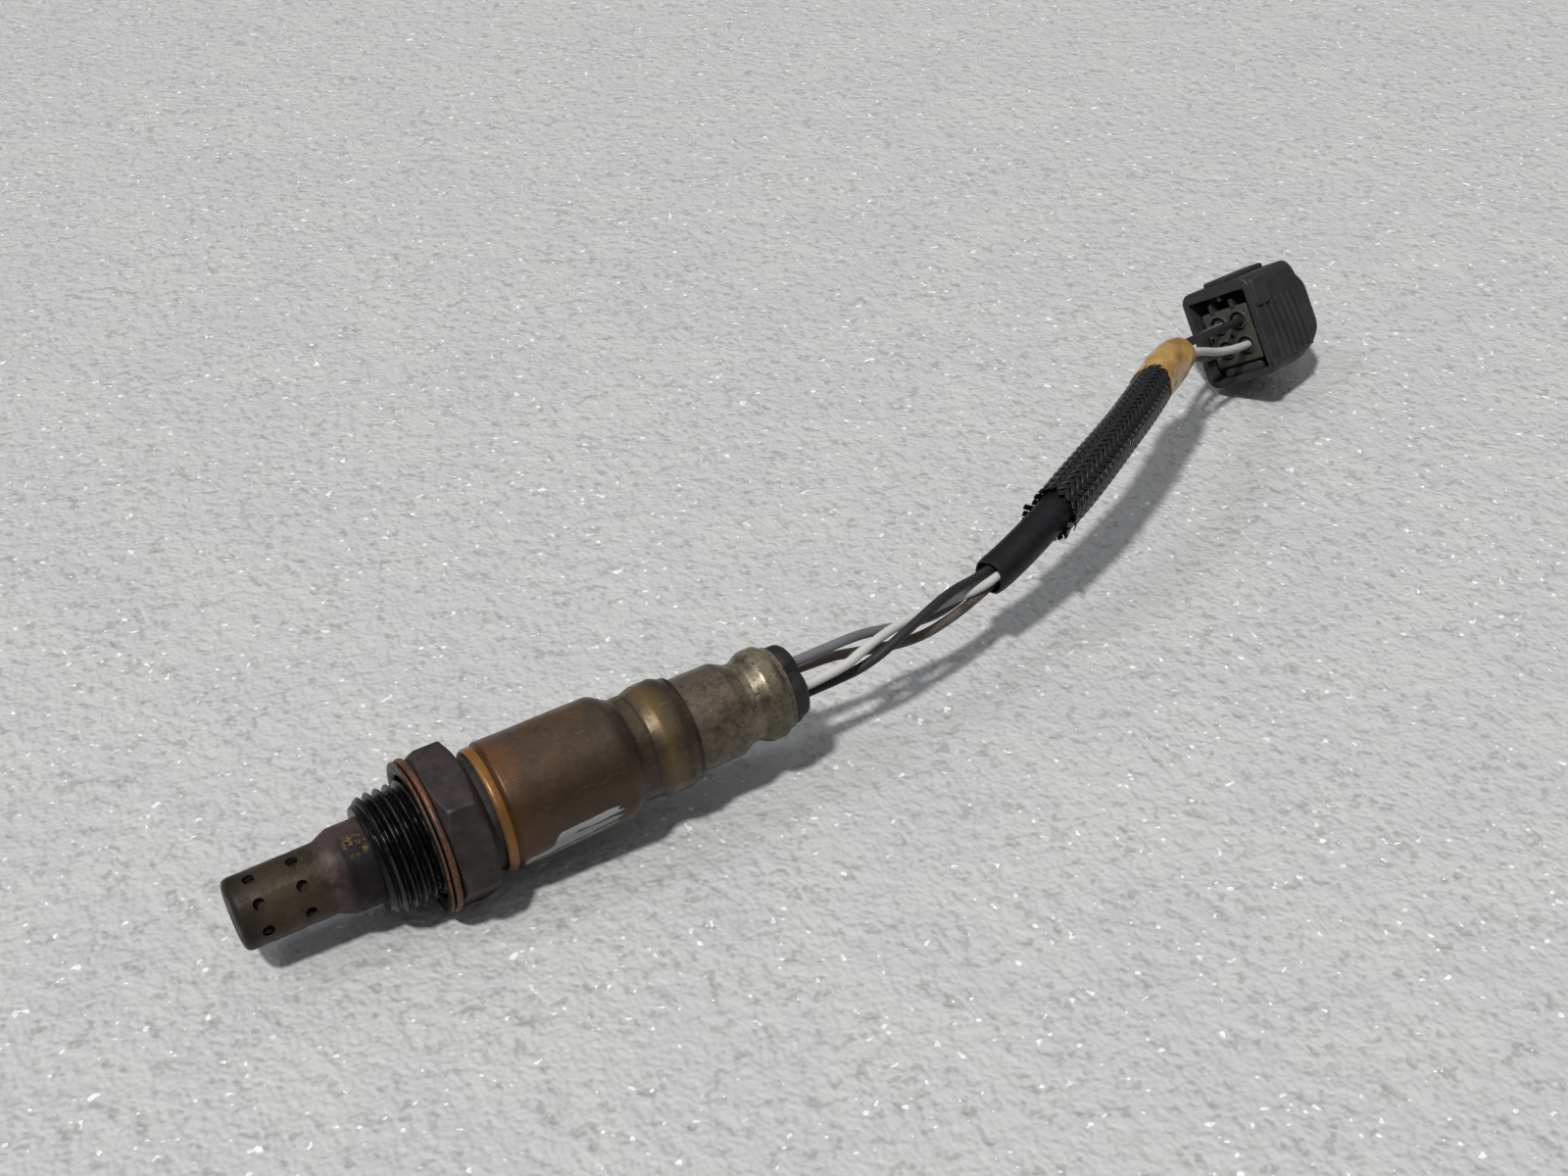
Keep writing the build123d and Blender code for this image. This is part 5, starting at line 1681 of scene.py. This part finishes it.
    def _ribs(self, material: bpy.types.Material) -> bpy.types.Object:
        """The upright grip ribs on both sides, as one piece."""
        both = None
        for side in (-1, 1):
            y = side * (self.width / 2 - 0.12)
            seed_mesh = bpy.data.meshes.new("ribs")
            obj = bpy.data.objects.new("ribs", seed_mesh)
            bpy.context.scene.collection.objects.link(obj)
            grow(obj, grip_ribs_tree(), Count=6, Rib_Radius=0.52 * MM,
                 First=(3.5 * MM, y * MM, 0.0), Step=(2.2 * MM, 0.0, 0.0),
                 Low_End=(0.0, 0.0, 2.1 * MM), Low_Bow=(0.1 * MM, side * 0.15 * MM, 6 * MM),
                 High_Bow=(-0.2 * MM, side * 0.15 * MM, 10 * MM),
                 High_End=(-0.7 * MM, 0.0, 13.6 * MM), Material=material)
            if both is None:
                both = obj
            else:
                self._join(both, obj)
        return both

    def build_insert(self, material: bpy.types.Material) -> bpy.types.Object:
        """Make the insert with its four cavities and one small spare hole."""
        w, h = self.insert_size
        mid, (first, last) = self.insert_middle, self.insert_span
        body = block((first, -w / 2, mid - h / 2), (last, w / 2, mid + h / 2))
        obj = as_object("plug_insert", body, Matrix.Identity(4))
        rounded_edges(obj, 0.5, 3, 30.0)
        for across, up in self.cavities:
            for radius, reach in ((1.9, 4.4), (1.2, 9.7), (0.55, 14.0)):
                cut(obj, self._drill(radius, across, mid + up, first - 0.5, first + reach))
        cut(obj, self._drill(0.45, 4.6, mid + 0.2, first - 0.5, first + 2.0))
        cut(obj, self._drill(0.45, 0.0, mid, first - 0.5, first + 2.0))
        for across, up in self.cavities:
            collar = self._tube(2.3, 1.95, across, mid + up, first - 0.12, first + 0.5)
            self._join(obj, collar)
        obj.data.transform(in_metres(self.place))
        resmooth(obj, 40.0)
        return hand_over(obj, material, "insert_plastic", "connector_insert")

    def _drill(self, radius: float, across: float, up: float, first: float,
               last: float) -> bpy.types.Object:
        """A round cutter along x."""
        mesh = bmesh.new()
        bmesh.ops.create_cone(mesh, cap_ends=True, segments=40, radius1=radius, radius2=radius,
                              depth=last - first)
        mesh.transform(Matrix.Translation(((first + last) / 2, across, up))
                       @ Matrix.Rotation(math.pi / 2, 4, "Y"))
        return as_object("drill", mesh, Matrix.Identity(4))

    def _tube(self, outer: float, inner: float, across: float, up: float, first: float,
              last: float) -> bpy.types.Object:
        """A short round collar along x with a rounded lip."""
        lip = 0.12
        mesh = lathe([(first + lip, inner), (first, inner + lip), (first, outer - lip),
                      (first + lip, outer), (last, outer), (last, inner)], 40)
        mesh.transform(Matrix.Translation((0, across, up)))
        return as_object("collar", mesh, Matrix.Identity(4))

    def build_seals(self, material: bpy.types.Material) -> list[bpy.types.Object]:
        """Make the four ribbed wire seals."""
        made = []
        for number, (across, up) in enumerate(self.cavities, start=1):
            outline = [(1.85, 0.84), (1.75, 0.95), (1.75, 1.45), (1.9, 1.62)]
            for rib in range(3):
                s = 2.2 + rib * 1.15
                outline += [(s, 1.66), (s + 0.25, 1.86), (s + 0.5, 1.86), (s + 0.75, 1.66)]
            outline += [(5.55, 1.6), (5.6, 0.84)]
            mesh = lathe(outline, 40)
            mesh.transform(Matrix.Translation((0, across, self.insert_middle + up)))
            obj = as_object(f"seal_{number}", mesh, self.place, 50.0)
            made.append(hand_over(obj, material, "seal_rubber", f"wire_seal_{number}"))
        return made


# ------------------------------------------------------------------ the studio
@dataclass
class Studio:
    """Pale ground, two lamps, a sky that brightens overhead and the camera."""

    ground: tuple = linear(208, 208, 207)
    bounce: tuple = linear(132, 132, 131)
    key: float = 2.2
    fill: float = 0.35
    horizon: float = 0.02
    zenith: float = 0.33

    def build(self) -> None:
        """Set the stage."""
        scene = bpy.context.scene
        scene.view_settings.view_transform = "Standard"
        self._ground()
        self._lamp("key_lamp", (0.455, 0.265, -1.0), self.key, 5.0, (1.0, 0.985, 0.96))
        self._lamp("fill_lamp", (0.62, -0.25, -0.75), self.fill, 9.0, (0.93, 0.96, 1.0))
        world = bpy.data.worlds.new("sky")
        scene.world = world
        world.use_nodes = True
        sheet = Sheet(world.node_tree)
        way = sheet.put("ShaderNodeTexCoord").outputs["Generated"]
        height = sheet.put("ShaderNodeSeparateXYZ", {0: way}).outputs[2]
        light = sheet.band(height, 0.0, 0.85, self.horizon, self.zenith)
        back = sheet.put("ShaderNodeBackground", {"Color": (0.95, 0.97, 1.0, 1.0),
                                                  "Strength": light})
        sheet.put("ShaderNodeOutputWorld", {"Surface": back.outputs[0]})
        self._camera()

    def _ground(self) -> None:
        """Lay the ground under the part."""
        mesh = bmesh.new()
        bmesh.ops.create_grid(mesh, x_segments=1, y_segments=1, size=3000.0)
        obj = as_object("ground", mesh, Matrix.Translation((0, 0, SURFACE)))
        material = bpy.data.materials.new("ground_paper")
        material.use_nodes = True
        sheet = Sheet(material.node_tree)
        place = sheet.put("ShaderNodeTexCoord").outputs["Object"]
        pebble = sheet.noise(place, 560.0, 1.0)
        patchy = sheet.noise(place, 240.0, 2.0)
        tint = sheet.blend(sheet.band(sheet.noise(place, 60.0, 4.0), 0.35, 0.65, 0.0, 0.4),
                           self.ground, linear(196, 198, 199))
        fleck = sheet.sum("MULTIPLY", sheet.band(pebble, 0.56, 0.68),
                          sheet.band(patchy, 0.34, 0.6, 0.1, 0.5))
        tint = sheet.blend(fleck, tint, linear(156, 153, 148))
        glint = sheet.sum("MULTIPLY", sheet.band(sheet.noise(place, 620.0, 1.0), 0.7, 0.72),
                          sheet.band(patchy, 0.4, 0.5))
        tint = sheet.blend(glint, tint, (1.0, 1.0, 1.0, 1.0))
        rays = sheet.put("ShaderNodeLightPath").outputs
        seen = sheet.sum("MAXIMUM", rays["Is Camera Ray"], sheet.sum(
            "MAXIMUM", rays["Is Glossy Ray"], rays["Is Transmission Ray"]))
        tint = sheet.blend(seen, self.bounce, tint)
        shader = sheet.put("ShaderNodeBsdfPrincipled", {"Base Color": tint, "Roughness": 0.55})
        height = sheet.sum("MULTIPLY_ADD", pebble, -1.0, patchy)
        bump = sheet.put("ShaderNodeBump", {"Height": height, "Strength": 0.9,
                                            "Distance": 0.0008})
        sheet.tree.links.new(bump.outputs[0], shader.inputs["Normal"])
        sheet.put("ShaderNodeOutputMaterial", {"Surface": shader.outputs[0]})
        obj.data.materials.append(material)

    @staticmethod
    def _lamp(name: str, travel: Point, strength: float, spread: float, colour: Point) -> None:
        """Hang a distant lamp whose light travels in a direction."""
        data = bpy.data.lights.new(name, "SUN")
        data.energy, data.angle, data.color = strength, math.radians(spread), colour
        obj = bpy.data.objects.new(name, data)
        bpy.context.scene.collection.objects.link(obj)
        obj.location = (0.1, 0.0, 0.6)
        obj.rotation_mode = "QUATERNION"
        obj.rotation_quaternion = Vector(travel).to_track_quat("-Z", "Y")

    @staticmethod
    def _camera() -> None:
        """Place the camera above the near side."""
        data = bpy.data.cameras.new("camera")
        data.lens, data.sensor_width, data.clip_start = 47.25, 36.0, 0.005
        obj = bpy.data.objects.new("camera", data)
        bpy.context.scene.collection.objects.link(obj)
        columns = ((0.86848, -0.49563, -0.00987), (0.30142, 0.51216, 0.80426),
                   (-0.39356, -0.70146, 0.59419))
        turn = Matrix(columns).transposed().to_4x4()
        obj.matrix_world = Matrix.Translation((-0.05936, -0.21291, 0.20213)) @ turn
        bpy.context.scene.camera = obj


# ------------------------------------------------------------------ everything together
class Finishes:
    """Every material of the part, each built once."""

    def __init__(self) -> None:
        """Build the shared effects and the materials."""
        fx = SharedEffects()
        self.probe = ProbeSteel().build(fx)
        self.shell = ShellSteel().build(fx)
        self.gasket = GasketCopper().build(fx)
        self.casing = CasingSteel().build(fx)
        self.tail = TailSteel().build(fx)
        self.film = AmberFilm().build(fx)
        dark = linear(30, 28, 26)
        dust = linear(120, 112, 100)
        self.grommet = Moulded("grommet_rubber", linear(30, 29, 29), linear(64, 58, 46),
                               linear(58, 56, 53), 0.3).build(fx)
        self.wires = {
            Insulation.GREY: Moulded(
                "grey_insulation", linear(112, 114, 119), linear(84, 80, 74),
                linear(140, 142, 146), 0.3).build(fx),
            Insulation.BROWN: Moulded(
                "brown_insulation", linear(98, 88, 80), linear(52, 44, 38),
                linear(136, 126, 116), 0.5).build(fx),
            Insulation.WHITE: Moulded(
                "white_insulation", linear(208, 207, 203), linear(140, 134, 122),
                linear(222, 221, 218), 0.28).build(fx),
            Insulation.BLACK: Moulded(
                "black_insulation", linear(40, 40, 42), linear(72, 68, 62),
                linear(62, 62, 64), 0.35).build(fx),
        }
        self.sleeving = Moulded("sleeving_rubber", linear(15, 14, 18), linear(40, 39, 38),
                                linear(30, 29, 33), 0.25, roughness=(0.4, 0.55)).build(fx)
        # On the braid the worn colour is also a painted highlight: the worn-edge mask lays it along
        # the strands' edges.
        self.braid = Moulded("braid_strands", linear(18, 18, 20), linear(44, 43, 42),
                             linear(38, 38, 41), 0.25, roughness=(0.26, 0.42), gloss=0.6).build(fx)
        self.plug = Moulded("plug_plastic", linear(46, 46, 48), linear(66, 66, 62),
                            linear(72, 72, 72), 0.3, roughness=(0.45, 0.6)).build(fx)
        self.insert = Moulded("insert_plastic", linear(66, 67, 60), linear(44, 43, 38),
                              linear(86, 86, 79), 0.4).build(fx)
        self.seal = Moulded("seal_rubber", linear(60, 62, 57), dark, linear(82, 83, 77),
                            0.4).build(fx)
        self.ceramic = Moulded("ceramic_body", linear(222, 219, 210), dust, linear(232, 230, 224),
                               0.15, roughness=(0.5, 0.6)).build(fx)
        self.contact = Moulded("contact_metal", linear(196, 190, 172), dark, linear(220, 216, 204),
                               0.2, roughness=(0.3, 0.4)).build(fx)

    def for_solids(self) -> dict[str, bpy.types.Material]:
        """The material of every solid that keeps its own mesh."""
        chosen = {"inner_protection_tube": self.probe, "element_washer": self.shell,
                  "packing_washer": self.shell, "spring_washer": self.tail,
                  "contact_inner": self.contact, "contact_outer": self.contact}
        for name in ("sensing_element", "talc_packing", "insulator_ring", "heater_rod",
                     "ceramic_holder"):
            chosen[name] = self.ceramic
        for colour in Insulation:
            chosen[f"terminal_{colour.value}"] = self.contact
        for number in range(1, 5):
            chosen[f"contact_socket_{number}"] = self.contact
        return chosen


def dress_solids(finishes: Finishes) -> None:
    """Give the solids that stay in view their materials."""
    for name, material in finishes.for_solids().items():
        obj = bpy.data.objects.get(name)
        if obj is None:
            LOG.warning("no solid named %s", name)
            continue
        if obj.data.materials:
            obj.data.materials[0] = material
        else:
            obj.data.materials.append(material)


def main() -> None:
    """Build the whole part in order."""
    logging.basicConfig(level=logging.INFO, format="%(name)s: %(message)s")
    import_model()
    finishes = Finishes()
    dress_solids(finishes)
    Probe().build(finishes.probe)
    Shell().build(finishes.shell)
    Gasket().build(finishes.gasket)
    Casing().build(finishes.casing)
    tail = Tail()
    tail.build_sleeve(finishes.tail)
    tail.build_grommet(finishes.grommet)
    lead, plug = Lead(), Connector()
    hangers: list[object] = [plug.build_housing(finishes.plug), plug.build_insert(finishes.insert)]
    hangers += plug.build_seals(finishes.seal)
    hangers += [f"contact_socket_{n}" for n in range(1, 5)]
    hangers += [lead.build_sleeve(finishes.sleeving), lead.build_braid(finishes.braid),
                lead.build_wrap(finishes.film)]
    lead.build_wires(finishes.wires, hangers)
    Studio().build()


if __name__ == "__main__":
    main()
